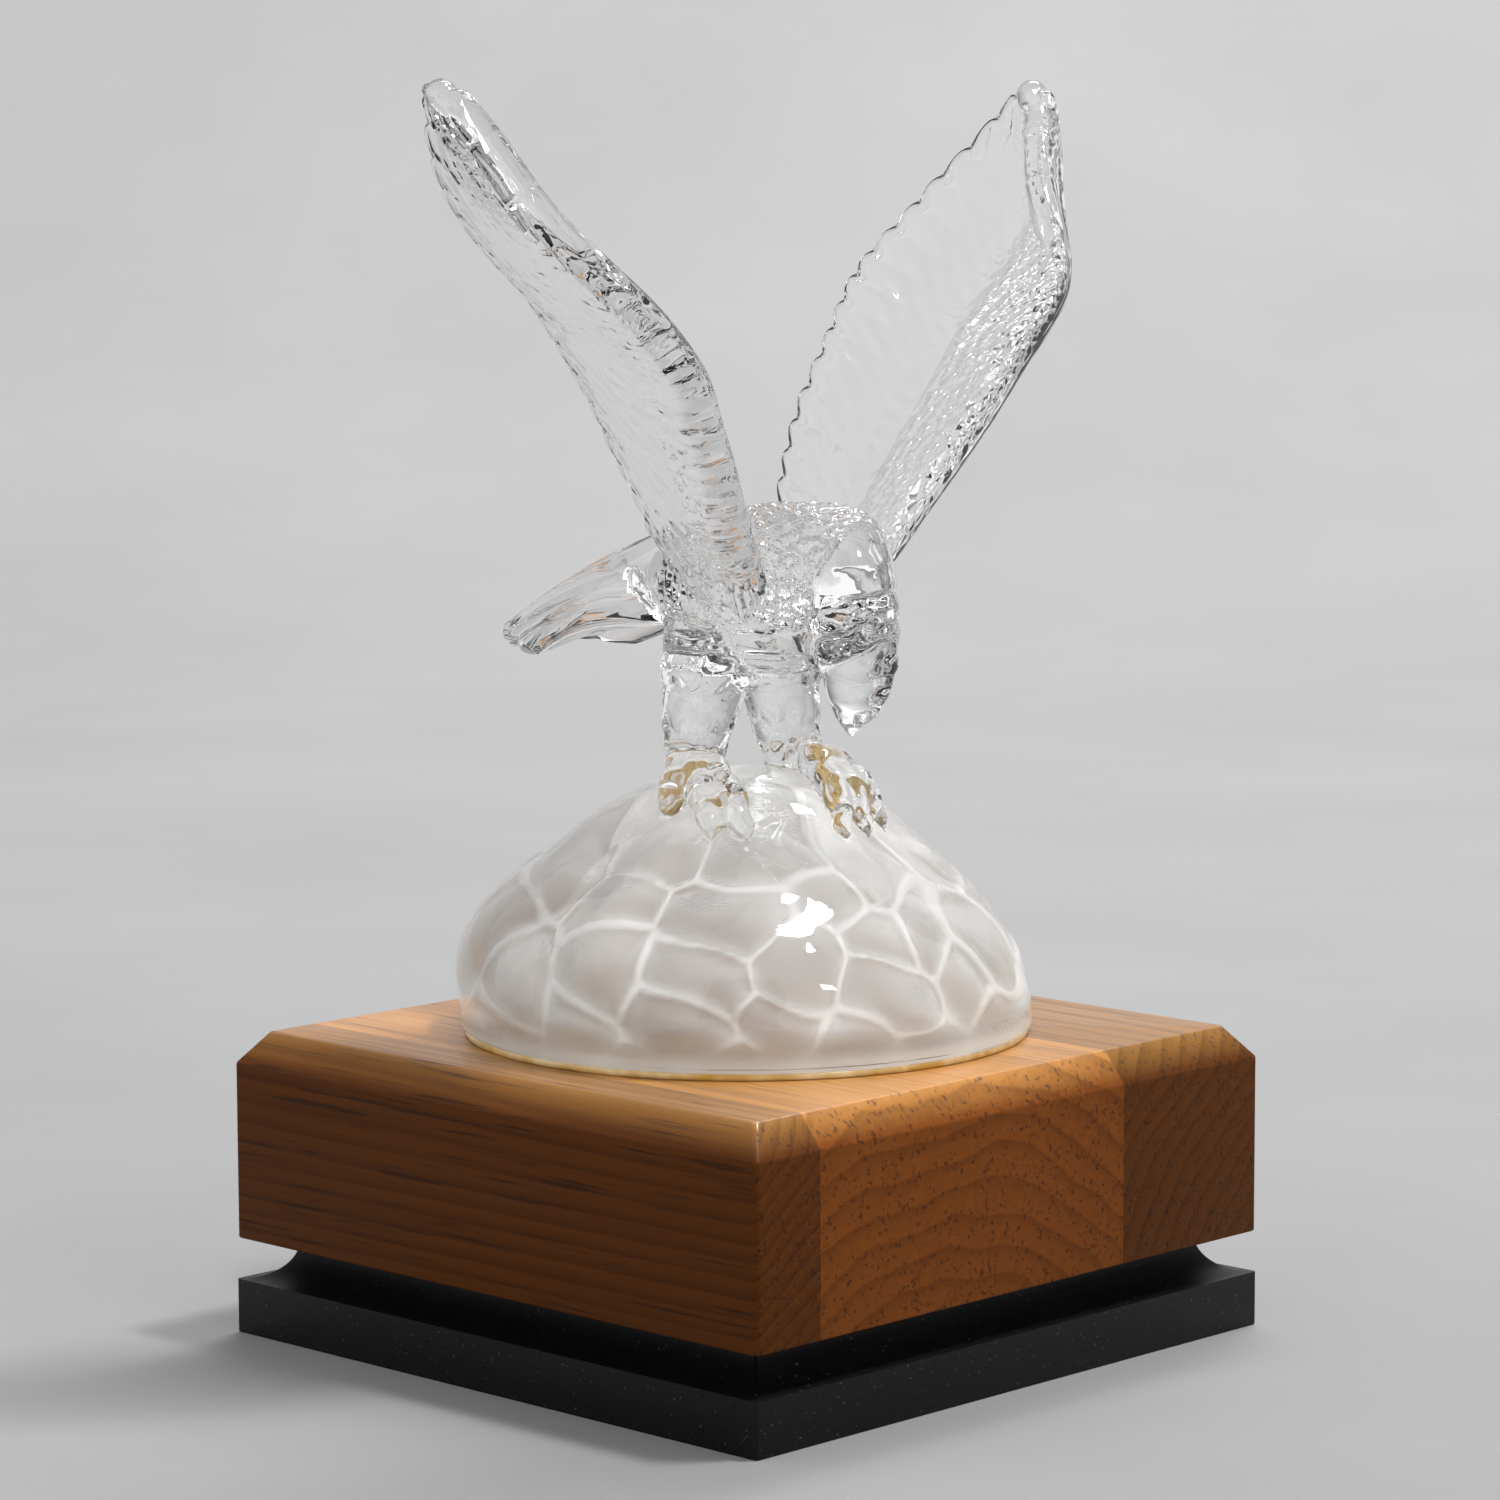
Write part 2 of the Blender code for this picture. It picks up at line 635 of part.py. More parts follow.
def make_foot(collection, cutters, material):
    """A square slab with a cove run round its top edge."""
    bm = bmesh.new()
    bmesh.ops.create_cube(bm, size=1.0)
    bmesh.ops.scale(bm, vec=(PLINTH_SIDE, PLINTH_SIDE, FOOT_HEIGHT), verts=bm.verts)
    bmesh.ops.translate(bm, vec=(0, 0, FOOT_HEIGHT / 2), verts=bm.verts)
    mesh = bpy.data.meshes.new("black_foot")
    bm.to_mesh(mesh)
    bm.free()
    foot = object_from("black_foot", mesh, collection)
    edge = PLINTH_SIDE / 2 - COVE_LEDGE
    coves = []
    for quarter in range(4):
        turn = quarter * math.pi / 2
        bpy.ops.mesh.primitive_cylinder_add(
            vertices=COVE_STEPS,
            radius=COVE_RADIUS,
            depth=PLINTH_SIDE + 4 * COVE_RADIUS,
            location=(edge * math.cos(turn), edge * math.sin(turn), FOOT_HEIGHT),
            rotation=(math.pi / 2, 0, turn),
        )
        coves.append(bpy.context.active_object)
    for cutter in coves:
        for home in list(cutter.users_collection):
            home.objects.unlink(cutter)
        cutters.objects.link(cutter)
        mark_cutter(cutter)
    join_all(foot, coves, "DIFFERENCE")
    foot.data.materials.clear()
    foot.data.materials.append(material)
    foot.data.shade_smooth()
    foot.data.set_sharp_from_angle(angle=math.radians(FOOT_HARD_EDGE))


def make_adhesive(collection, material):
    """A thin flat ring between the crystal's rim and the block."""
    low = block_top() + SEAT_GAP
    high = low + ADHESIVE_THICKNESS
    outer = MOUND_RADIUS - RIM_ROUNDING + ADHESIVE_INSET
    inner = MOUND_RADIUS - RIM_WIDTH + ADHESIVE_INSET
    profile = [(inner, high), (outer, high), (outer, low), (inner, low), (inner, high)]
    source = turned("adhesive_profile", profile, ADHESIVE_STEPS, collection)
    mesh = evaluated_mesh(source)
    bpy.data.objects.remove(source, do_unlink=True)
    bm = bmesh.new()
    bm.from_mesh(mesh)
    bmesh.ops.remove_doubles(bm, verts=bm.verts, dist=MERGE_DISTANCE)
    bmesh.ops.recalc_face_normals(bm, faces=bm.faces)
    bm.to_mesh(mesh)
    bm.free()
    return object_from("adhesive_ring", mesh, collection, material)


def main():
    clear_scene()
    parts = new_collection("crystal_eagle_figurine")
    cutters = new_collection("cutters")
    crystal = make_material("lead_crystal", (0.95, 0.96, 0.96), 0.02, transmission=1.0, ior=1.54)
    walnuts = [
        make_material("walnut_dark", (0.16, 0.07, 0.03), 0.35),
        make_material("walnut_middle", (0.30, 0.13, 0.045), 0.35),
        make_material("walnut_right", (0.24, 0.10, 0.035), 0.35),
    ]
    black = make_material("black_lacquer", (0.008, 0.008, 0.009), 0.4)
    amber = make_material("amber_adhesive", (0.55, 0.32, 0.06), 0.2)
    make_foot(parts, cutters, black)
    make_boards(parts, cutters, walnuts)
    make_adhesive(parts, amber)
    make_crystal(parts, cutters, crystal)


main()
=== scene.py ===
import math

import bmesh
import bpy
import numpy as np
from mathutils import Matrix, Vector


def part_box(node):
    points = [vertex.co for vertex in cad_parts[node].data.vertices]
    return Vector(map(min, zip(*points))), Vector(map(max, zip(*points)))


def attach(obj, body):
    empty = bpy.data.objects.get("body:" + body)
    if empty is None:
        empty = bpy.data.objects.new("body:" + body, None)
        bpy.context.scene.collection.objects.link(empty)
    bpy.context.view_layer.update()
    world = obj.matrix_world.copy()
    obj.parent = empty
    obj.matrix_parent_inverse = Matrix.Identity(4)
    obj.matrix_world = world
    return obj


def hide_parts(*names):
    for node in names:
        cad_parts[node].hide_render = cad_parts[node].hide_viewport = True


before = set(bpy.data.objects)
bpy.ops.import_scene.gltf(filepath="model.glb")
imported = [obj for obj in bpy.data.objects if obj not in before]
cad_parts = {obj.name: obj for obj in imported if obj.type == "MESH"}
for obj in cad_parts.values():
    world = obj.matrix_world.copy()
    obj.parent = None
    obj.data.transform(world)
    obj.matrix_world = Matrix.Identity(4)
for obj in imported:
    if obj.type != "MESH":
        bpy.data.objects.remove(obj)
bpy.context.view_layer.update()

# Sizes below are millimetres. The crystal's are measured from its base, out to the eagle's left, forward and up.
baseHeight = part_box("crystal_eagle")[0][2]


def onBase(points):
    # Millimetres above the crystal's base into metres of the frame
    return points / 1000.0 + np.array([0.0, 0.0, baseHeight])


def place(out, forward, up):
    # The eagle's left is +X, and forward is -Y
    out, forward, up = np.broadcast_arrays(out, forward, up)
    return onBase(np.stack([out, -forward, up], -1))


def addObject(name, data):
    # A new object round the data, in the scene
    piece = bpy.data.objects.new(name, data)
    bpy.context.scene.collection.objects.link(piece)
    return piece


# Camera
viewpoint = {
    "lens": 122.6,
    "azimuth": -45.896,
    "distance": 1.0582,
    "height": 0.2565,
    "pitch": 7.172,
    "yaw": 0.048,
    "roll": -0.184,
}


def makeCamera(look):
    # Stands on a circle round the plinth, then turns, nods and tilts
    data = bpy.data.cameras.new("photoCamera")
    data.lens = look["lens"]
    data.sensor_width = 36
    data.clip_end = 20
    camera = addObject("photoCamera", data)
    turn = math.radians(look["azimuth"])
    spot = Vector((math.sin(turn) * look["distance"], -math.cos(turn) * look["distance"], look["height"]))
    swing = Matrix.Rotation(turn - math.radians(look["yaw"]), 4, "Z")
    nod = Matrix.Rotation(math.radians(90 - look["pitch"]), 4, "X")
    tilt = Matrix.Rotation(math.radians(look["roll"]), 4, "Z")
    camera.matrix_world = Matrix.Translation(spot) @ swing @ nod @ tilt
    bpy.context.scene.camera = camera


makeCamera(viewpoint)
print("camera set")


# Shader expressions
class Flow:
    # One socket of a node tree. Sums, products and powers of flows add their Math nodes.
    def __init__(self, tree, socket):
        self.tree = tree
        self.socket = socket

    def arithmetic(self, operation, first, second):
        node = self.tree.nodes.new("ShaderNodeMath")
        node.operation = operation
        for slot, value in zip(node.inputs, (first, second)):
            if isinstance(value, Flow):
                self.tree.links.new(value.socket, slot)
            else:
                slot.default_value = value
        return Flow(self.tree, node.outputs[0])

    def __add__(self, other):
        return self.arithmetic("ADD", self, other)

    def __radd__(self, other):
        return self.arithmetic("ADD", other, self)

    def __sub__(self, other):
        return self.arithmetic("SUBTRACT", self, other)

    def __rsub__(self, other):
        return self.arithmetic("SUBTRACT", other, self)

    def __mul__(self, other):
        return self.arithmetic("MULTIPLY", self, other)

    def __rmul__(self, other):
        return self.arithmetic("MULTIPLY", other, self)

    def __pow__(self, other):
        return self.arithmetic("POWER", self, other)


class Finish:
    # A material with one Principled shader; add() makes any other node
    def __init__(self, name, **values):
        self.material = bpy.data.materials.new(name)
        self.material.use_nodes = True
        self.tree = self.material.node_tree
        self.shader = self.tree.nodes["Principled BSDF"]
        self.output = self.tree.nodes["Material Output"]
        for key, value in values.items():
            self.shader.inputs[key.replace("_", " ")].default_value = value

    def setStops(self, ramp, stops):
        # Puts (position, grey) pairs in place of the ramp's own stops
        for spare in list(ramp.elements)[1:]:
            ramp.elements.remove(spare)
        for number, (position, grey) in enumerate(stops):
            stop = ramp.elements[0] if number == 0 else ramp.elements.new(position)
            stop.position = position
            stop.color = (grey, grey, grey, 1)

    def add(self, kind, settings=None, sockets=None, output=0):
        # A node of this kind with its settings and sockets; one of its outputs comes back as a flow
        node = self.tree.nodes.new(kind)
        for key, value in (settings or {}).items():
            if key == "stops":
                self.setStops(node.color_ramp, value)
            else:
                setattr(node, key, value)
        for key, value in (sockets or {}).items():
            self.link(value, node.inputs[key])
        return Flow(self.tree, node.outputs[output])

    def link(self, value, slot):
        # A flow is linked, anything else is set as the socket's own value
        if isinstance(value, Flow):
            self.tree.links.new(value.socket, slot)
        else:
            slot.default_value = value

    def feed(self, key, value):
        self.link(value, self.shader.inputs[key])

    def coordinates(self):
        # Object coordinates
        return self.add("ShaderNodeTexCoord", output=3)


def axisOf(finish, at, number):
    # One coordinate: 0 across, 1 along, 2 up
    return finish.add("ShaderNodeSeparateXYZ", sockets={"Vector": at}, output=number)


def noiseOf(finish, at, scale, detail=3.0, roughness=0.55):
    # Even noise from 0 to 1 with this many bumps to a metre
    sockets = {"Vector": at, "Scale": scale, "Detail": detail, "Roughness": roughness}
    return finish.add("ShaderNodeTexNoise", sockets=sockets)


def stretchOf(finish, at, scale, shift=0.0):
    # The coordinates moved across by shift and scaled along each axis
    sockets = {"Vector": at, "Location": (shift, 0, 0), "Scale": scale}
    return finish.add("ShaderNodeMapping", sockets=sockets)


def mixOf(finish, share, first, second, blend="MIX"):
    # The first colour where share is 0, and the second where it is 1
    settings = {"data_type": "RGBA", "blend_type": blend}
    return finish.add("ShaderNodeMix", settings, {0: share, 6: first, 7: second}, 2)


def rangeOf(finish, value, low, high, fromLow=0.0, fromHigh=1.0):
    # Runs value from its own range to another, held at both ends
    sockets = {"Value": value, "From Min": fromLow, "From Max": fromHigh, "To Min": low, "To Max": high}
    return finish.add("ShaderNodeMapRange", {"clamp": True}, sockets)


def bumpOf(finish, height, strength, distance):
    # A height of 1 stands this many metres proud
    return finish.add("ShaderNodeBump", sockets={"Height": height, "Strength": strength, "Distance": distance})


# Mesh helpers
def splinePoints(points, at):
    # Catmull-Rom curve through the points, read where at runs from 0 to 1
    points = np.asarray(points, float)
    padded = np.vstack([2 * points[0] - points[1], points, 2 * points[-1] - points[-2]])
    where = np.clip(np.asarray(at, float), 0, 1) * (len(points) - 1)
    span = np.minimum(where.astype(int), len(points) - 2)
    t = (where - span)[..., None]
    before, start, end, after = (padded[span + k] for k in range(4))
    bend = 2 * before - 5 * start + 4 * end - after
    return 0.5 * (2 * start + (end - before) * t + bend * t**2 + (3 * start - before - 3 * end + after) * t**3)


def softStep(value):
    # 0 below 0, 1 above 1, and a smooth rise between
    value = np.clip(value, 0, 1)
    return value * value * (3 - 2 * value)


def roundOff(value):
    # Height of a unit circle at this share of its radius: 1 in the middle, 0 at the end and beyond
    return np.sqrt(np.clip(1 - np.clip(value, 0, 1) ** 2, 0, 1))


def unit(vectors):
    # Vectors divided by their lengths
    return vectors / np.linalg.norm(vectors, axis=-1, keepdims=True)


def closedSkin(rings):
    # rings is rows x columns x 3. Columns close on themselves, and each end row is closed by a fan to its middle.
    rows, columns = rings.shape[:2]
    points = np.vstack([rings.reshape(-1, 3), rings[0].mean(0), rings[-1].mean(0)])
    i, j = np.meshgrid(np.arange(rows - 1), np.arange(columns), indexing="ij")
    right = (j + 1) % columns
    quads = np.stack([i * columns + j, i * columns + right, (i + 1) * columns + right, (i + 1) * columns + j], -1)
    j = np.arange(columns)
    right = (j + 1) % columns
    first = np.stack([right, j, np.full(columns, rows * columns)], -1)
    last = (rows - 1) * columns + j
    lastRight = (rows - 1) * columns + right
    final = np.stack([last, lastRight, np.full(columns, rows * columns + 1)], -1)
    return points, quads.reshape(-1, 4), np.vstack([first, final])


def newPiece(name, points, quads, triangles=None):
    # Writes whole arrays into a mesh and turns its faces outward
    triangles = np.zeros((0, 3), int) if triangles is None else triangles
    mesh = bpy.data.meshes.new(name)
    mesh.vertices.add(len(points))
    mesh.vertices.foreach_set("co", np.asarray(points, float).ravel())
    corners = np.concatenate([quads.ravel(), triangles.ravel()])
    sizes = np.concatenate([np.full(len(quads), 4), np.full(len(triangles), 3)])
    mesh.loops.add(len(corners))
    mesh.loops.foreach_set("vertex_index", corners.astype(np.int32))
    mesh.polygons.add(len(sizes))
    mesh.polygons.foreach_set("loop_start", np.concatenate([[0], np.cumsum(sizes)[:-1]]).astype(np.int32))
    mesh.update(calc_edges=True)
    mesh.validate()
    turnOutward(mesh)
    return addObject(name, mesh)


def placedSkin(name, rings):
    # A closed skin through rings of out, forward and up
    return newPiece(name, *closedSkin(place(rings[..., 0], rings[..., 1], rings[..., 2])))


def turnOutward(mesh):
    # Faces agree with each other first, then all flip if the volume comes out negative
    bm = bmesh.new()
    bm.from_mesh(mesh)
    bmesh.ops.recalc_face_normals(bm, faces=bm.faces)
    if bm.calc_volume(signed=True) < 0:
        bmesh.ops.reverse_faces(bm, faces=bm.faces)
    bm.to_mesh(mesh)
    bm.free()


def applyModifiers(piece):
    # The evaluated mesh takes the place of the old one
    graph = bpy.context.evaluated_depsgraph_get()
    mesh = bpy.data.meshes.new_from_object(piece.evaluated_get(graph))
    old = piece.data
    piece.modifiers.clear()
    piece.data = mesh
    bpy.data.meshes.remove(old)


def fuse(body, others):
    # Joins solid after solid to the body, and keeps each face's finish
    for other in others:
        join = body.modifiers.new("join", "BOOLEAN")
        join.operation = "UNION"
        join.solver = "MANIFOLD"
        join.object = other
        applyModifiers(body)
        bpy.data.objects.remove(other, do_unlink=True)


def readRows(collection, key):
    # Three numbers of each point as one array
    rows = np.empty(len(collection) * 3)
    collection.foreach_get(key, rows)
    return rows.reshape(-1, 3)


def addAttribute(piece, name, values):
    # One number on each point, for the finishes to read
    numbers = np.asarray(values, np.float32)
    piece.data.attributes.new(name, "FLOAT", "POINT").data.foreach_set("value", numbers)


def smoothShade(piece, angle=180):
    # Smooth all over, with edges sharper than the angle left crisp
    piece.data.shade_smooth()
    if angle < 180:
        piece.data.set_sharp_from_angle(angle=math.radians(angle))


# Plinth: block and foot are profiles carried round a square
plinth = {
    "side": 152.4,
    "footHeight": 20.3,
    "coveRadius": 8.8,
    "coveLedge": 0.6,
    "blockHeight": 44.1,
    "chamferWidth": 5.2,
    "chamferHeight": 6.6,
    "cornerRounding": 1.3,
    "edgeRounding": 0.45,
    "capReach": 74.0,
}


def roundedSquare(half, rounding, cornerSteps):
    # Four straight sides joined by quarter circles
    turn = (np.arange(4)[:, None] * 90 + np.linspace(0, 90, cornerSteps)[None, :]).ravel()
    middle = np.radians(np.repeat(np.arange(4) * 90 + 45, cornerSteps))
    angle = np.radians(turn)
    inner = half - rounding
    x = np.sign(np.cos(middle)) * inner + rounding * np.cos(angle)
    y = np.sign(np.sin(middle)) * inner + rounding * np.sin(angle)
    return x, y


def carriedSquare(name, profile, rounding, cornerSteps=9):
    # profile holds (inset, height): at each height the square shrinks by the inset
    rings = []
    for inset, height in profile:
        x, y = roundedSquare(plinth["side"] / 2 - inset, rounding, cornerSteps)
        rings.append(np.stack([x / 1000, y / 1000, np.full_like(x, height / 1000)], -1))
    return newPiece(name, *closedSkin(np.array(rings)))


def roundedProfile(corners, rounding, steps=4):
    # Replaces each inner corner of an (inset, height) line by a short arc
    corners = np.asarray(corners, float)
    out = [corners[0]]
    for before, corner, after in zip(corners, corners[1:], corners[2:]):
        back, ahead = unit(before - corner), unit(after - corner)
        for t in np.linspace(0, 1, steps):
            out.append(corner + rounding * (back * (1 - t) ** 2 + ahead * t**2))
    out.append(corners[-1])
    return out


def makeBlock():
    # Bottom face, side, wide chamfer, top face
    low = plinth["footHeight"]
    high = low + plinth["blockHeight"]
    deep = plinth["side"] / 2 - 2
    corners = [
        (deep, low),
        (0, low),
        (0, high - plinth["chamferHeight"]),
        (plinth["chamferWidth"], high),
        (deep, high),
    ]
    return carriedSquare("walnutBlock", roundedProfile(corners, plinth["edgeRounding"]), plinth["cornerRounding"])


def boardOf(block, name, start, end):
    # The stretch of the block between two glue lines
    bm = bmesh.new()
    bm.from_mesh(block.data)
    for edge, facing in ((start, -1), (end, 1)):
        if abs(edge) > plinth["side"] / 2:
            continue
        everything = bm.verts[:] + bm.edges[:] + bm.faces[:]
        spot = (edge / 1000, 0, 0)
        cut = bmesh.ops.bisect_plane(bm, geom=everything, plane_co=spot, plane_no=(facing, 0, 0), clear_outer=True)
        rim = [piece for piece in cut["geom_cut"] if isinstance(piece, bmesh.types.BMEdge)]
        bmesh.ops.edgeloop_fill(bm, edges=rim)
    bmesh.ops.recalc_face_normals(bm, faces=bm.faces)
    mesh = bpy.data.meshes.new(name)
    bm.to_mesh(mesh)
    bm.free()
    board = addObject(name, mesh)
    smoothShade(board, 35)
    return board


def makeFoot():
    # Slab side, ledge, quarter-round cove up to the neck, neck top
    high = plinth["footHeight"]
    radius = plinth["coveRadius"]
    ledge = plinth["coveLedge"]
    turn = np.radians(np.linspace(90, 0, 18))
    cove = [(ledge + radius * math.cos(t), high - radius * math.sin(t)) for t in turn]
    corners = [(plinth["capReach"], 0), (0, 0), (0, high - radius)]
    profile = roundedProfile(corners, 0.35)
    profile += [(ledge * 0.6, high - radius)] + cove + [(plinth["capReach"], high)]
    return carriedSquare("blackFoot", profile, 0.5, 5)


# Walnut
walnutBoards = {
    "narrow": {
        "name": "walnutBoardNarrow",
        "node": "walnut_board_narrow",
        "slot": "walnut_dark",
        "from": -90.0,
        "to": -58.4,
        "pith": (-0.140, 0.150),
        "light": (0.125, 0.038, 0.006, 1),
        "dark": (0.030, 0.008, 0.0015, 1),
        "paintedTopSheen": (3.0, 4.6, 7.5, 1),
        "ringSpacing": 3.4,
        "shift": 3.7,
    },
    "middle": {
        "name": "walnutBoardMiddle",
        "node": "walnut_board_middle",
        "slot": "walnut_middle",
        "from": -58.4,
        "to": 32.3,
        "pith": (-0.020, -0.030),
        "light": (0.225, 0.064, 0.009, 1),
        "dark": (0.052, 0.014, 0.0025, 1),
        "paintedTopSheen": (2.6, 4.2, 7.5, 1),
        "ringSpacing": 6.5,
        "shift": 0.0,
    },
    "right": {
        "name": "walnutBoardRight",
        "node": "walnut_board_right",
        "slot": "walnut_right",
        "from": 32.3,
        "to": 90.0,
        "pith": (0.150, -0.060),
        "light": (0.120, 0.037, 0.006, 1),
        "dark": (0.034, 0.010, 0.0015, 1),
        "paintedTopSheen": (3.0, 4.6, 7.5, 1),
        "ringSpacing": 4.2,
        "shift": 8.1,
    },
}


def walnutFinish(look):
    # Growth rings: the distance from a pith that runs along the board, with a slow wave. Fine pores are drawn out
    # along the grain, and the top face is painted paler than the sides, a painted sheen of light from above.
    wood = Finish(look["name"] + "Wood", Roughness=0.36, Specular_IOR_Level=0.06, Coat_Roughness=0.22)
    at = wood.coordinates()
    turned = stretchOf(wood, at, (1.0, 0.10, 1.0), look["shift"])
    wave = noiseOf(wood, turned, 14.0, 3.0, 0.5)
    across = axisOf(wood, at, 0) - look["pith"][0]
    up = axisOf(wood, at, 2)
    radius = (across**2 + (up - look["pith"][1]) ** 2) ** 0.5
    rings = radius * (1000.0 / look["ringSpacing"]) + wave * 5.0
    saw = wood.add("ShaderNodeMath", {"operation": "FRACT"}, {0: rings})
    ringStops = ((0.0, 0.1), (0.55, 0.35), (0.9, 1.0), (1.0, 0.1))
    band = wood.add("ShaderNodeValToRGB", {"stops": ringStops}, {"Fac": saw})
    fibre = stretchOf(wood, at, (1.0, 0.035, 1.0))
    streaks = noiseOf(wood, fibre, 420.0, 4.0, 0.65)
    pores = rangeOf(wood, noiseOf(wood, fibre, 900.0, 2.0, 0.5), 1.0, 0.0, 0.30, 0.42)
    clouds = noiseOf(wood, turned, 9.0, 2.0)
    grade = band * 0.30 + streaks * 0.45 + clouds * 0.5 - 0.14
    colour = mixOf(wood, grade, look["light"], look["dark"])
    darker = mixOf(wood, pores * 0.6, colour, (0.02, 0.009, 0.005, 1))
    top = (plinth["footHeight"] + plinth["blockHeight"]) / 1000
    onTop = rangeOf(wood, up, 0.0, 1.0, top - 0.0059, top - 0.0002)
    # Painted sheen: the top face's colour is multiplied paler, standing in for overhead light and the backdrop's
    # reflection
    flat = mixOf(wood, onTop, darker, look["paintedTopSheen"], "MULTIPLY")
    wood.feed("Base Color", flat)
    wood.feed("Coat Weight", rangeOf(wood, onTop, 0.0, 0.5, 0.8, 1.0))
    wood.feed("Roughness", rangeOf(wood, streaks + pores * 0.5, 0.28, 0.5, 0.3, 1.1))
    wood.feed("Normal", bumpOf(wood, 1.0 - pores * 0.8 - streaks * 0.2, 0.35, 0.0002))
    return wood.material


def blackFinish():
    # Satin lacquer over fine grain, with specks of dust
    paint = Finish("blackLacquer", Roughness=0.36, Specular_IOR_Level=0.2)
    at = paint.coordinates()
    grain = noiseOf(paint, stretchOf(paint, at, (0.15, 1.0, 1.0)), 300.0, 3.0)
    dust = rangeOf(paint, noiseOf(paint, at, 1500.0, 1.0), 0.0, 1.0, 0.72, 0.78)
    specks = mixOf(paint, dust * 0.35, (0.003, 0.003, 0.0035, 1), (0.25, 0.24, 0.23, 1))
    paint.feed("Base Color", specks)
    paint.feed("Roughness", rangeOf(paint, grain, 0.3, 0.5))
    paint.feed("Normal", bumpOf(paint, grain, 0.15, 0.0002))
    return paint.material


block = makeBlock()
for look in walnutBoards.values():
    board = boardOf(block, look["name"], look["from"], look["to"])
    board.data.materials.append(walnutFinish(look))
    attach(board, "root")
    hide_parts(look["node"])
bpy.data.objects.remove(block, do_unlink=True)
print("walnut boards made")

foot = makeFoot()
smoothShade(foot, 30)
foot.data.materials.append(blackFinish())
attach(foot, "root")
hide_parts("black_foot")
print("foot made")


# Crystal: the wings
wingLook = {
    "lead": (
        (4.0, 13.0, 84.0), (13.0, 17.0, 91.0), (20.6, 20.6, 99.5), (26.8, 23.4, 108.0), (33.8, 27.0, 118.0),
        (41.0, 30.1, 128.2), (47.2, 32.4, 137.5), (55.4, 33.0, 146.0), (62.6, 31.8, 153.0), (68.9, 27.8, 160.0),
        (73.1, 22.5, 166.6), (76.6, 17.4, 174.3), (80.2, 13.5, 182.4), (84.0, 9.7, 189.4), (86.9, 6.6, 194.6),
    ),
    "trail": (
        (4.0, -9.0, 92.0), (13.0, -9.0, 98.0), (18.7, -9.3, 105.5), (22.2, -10.7, 113.8), (26.4, -12.2, 121.9),
        (31.1, -12.8, 130.7), (37.1, -13.2, 139.3), (42.6, -14.0, 147.0), (48.6, -14.9, 154.5), (56.3, -15.3, 161.0),
        (65.2, -14.0, 168.1), (73.0, -11.8, 175.6), (80.4, -7.4, 184.0), (86.0, -2.2, 192.4), (88.0, 0.6, 195.8),
    ),
    "leadStations": (0.0, 0.14, 0.29, 0.42, 0.54, 0.66, 0.79, 0.91, 1.0),
    "trailStations": (0.0, 0.18, 0.38, 0.56, 0.72, 0.86, 0.94, 0.98, 1.0),
    "columns": 240,
    "rows": 42,
    "leadOffset": 2.4,
    "rootRadius": 4.4,
    "tipRadius": 3.3,
    "edge": 0.75,
    "bead": 0.7,
    "nearMarks": 0.22,
    "camber": 3.4,
    "primaries": 19,
    "scallop": 1.9,
    "rootVane": 0.30,
    "tipVane": 1.5,
    "rootSweep": 0.30,
    "tipSweep": 0.42,
    "scales": 66,
    "tubeRoot": 2.0,
    "tubeTip": 3.3,
    "tipSlip": (-0.5, -1.0, -1.8),
}


def vaneRow(across, depth, shaft, line=0.45):
    # Feathers side by side: each slopes up to the edge that lies over the next, with a groove along its shaft
    part = across % 1.0
    slope = part - 0.5 - softStep((part - 0.88) / 0.12)
    return depth * slope - shaft * np.exp(-(((part - line) / 0.07) ** 2))


def tipRow(across, share, tip, curve, depth):
    # A row of coverts that ends in rounded tips, one step down to the row below
    part = 2 * (across % 1.0) - 1
    end = tip - curve * part**2
    groove = 0.35 * (1 - roundOff(np.abs(part))) * softStep(1 - (end - share) / 0.12)
    return depth * softStep((end - share) / 0.024) * (1 - groove)


def scaleRows(across, along, depth):
    # Overlapping small feathers: a slope that falls to a round edge, every second row set over by half
    row = np.floor(along)
    part = along - row
    side = 2 * ((across + 0.5 * (row % 2)) % 1.0) - 1
    edge = 1 - 0.45 * side**2
    return depth * (softStep((edge - part) / 0.15) * (0.35 + 0.65 * part) - 0.3)


def wingRelief(look, station, grid, share):
    # Both faces carry long feathers swept toward the tip. The inner face also has two rows of coverts and fine
    # scales, the outer one short feathers near the body. Returns the outer face's relief, then the inner's.
    outer = softStep((grid - 0.55) / 0.3)
    sweep = look["rootSweep"] + (look["tipSweep"] - look["rootSweep"]) * softStep((grid - 0.35) / 0.5)
    swept = (station + sweep * (1 - share)) * look["primaries"]
    wobble = 0.12 * np.sin(9 * share + 40 * grid) * (1 - share)
    below = softStep((share - 0.2) / 0.2)
    vane = look["rootVane"] + (look["tipVane"] - look["rootVane"]) * outer
    long = vaneRow(swept + wobble, vane, 0.03 + 0.22 * outer) * below
    covered = softStep((0.93 - grid) / 0.12)
    great = tipRow(swept * 1.5, share, 0.50, 0.06, 0.26) * covered
    small = tipRow(swept * 2 + 0.4, share, 0.36, 0.05, 0.28) * covered
    scales = scaleRows(grid * look["scales"] + share * 9, share * 22 + 6 * grid, 0.35)
    scales = scales * softStep((0.34 - share) / 0.05) * covered
    short = scaleRows(swept * 1.6, share * 6 + 2 * grid, 0.35) * softStep((0.45 - grid) / 0.2)
    short = short * softStep((share - 0.3) / 0.1)
    fade = softStep((share - 0.05) / 0.05) * softStep((1.02 - share) / 0.06) * softStep(grid / 0.06)
    return fade * (long + short), fade * (0.3 * long + great + small + scales)


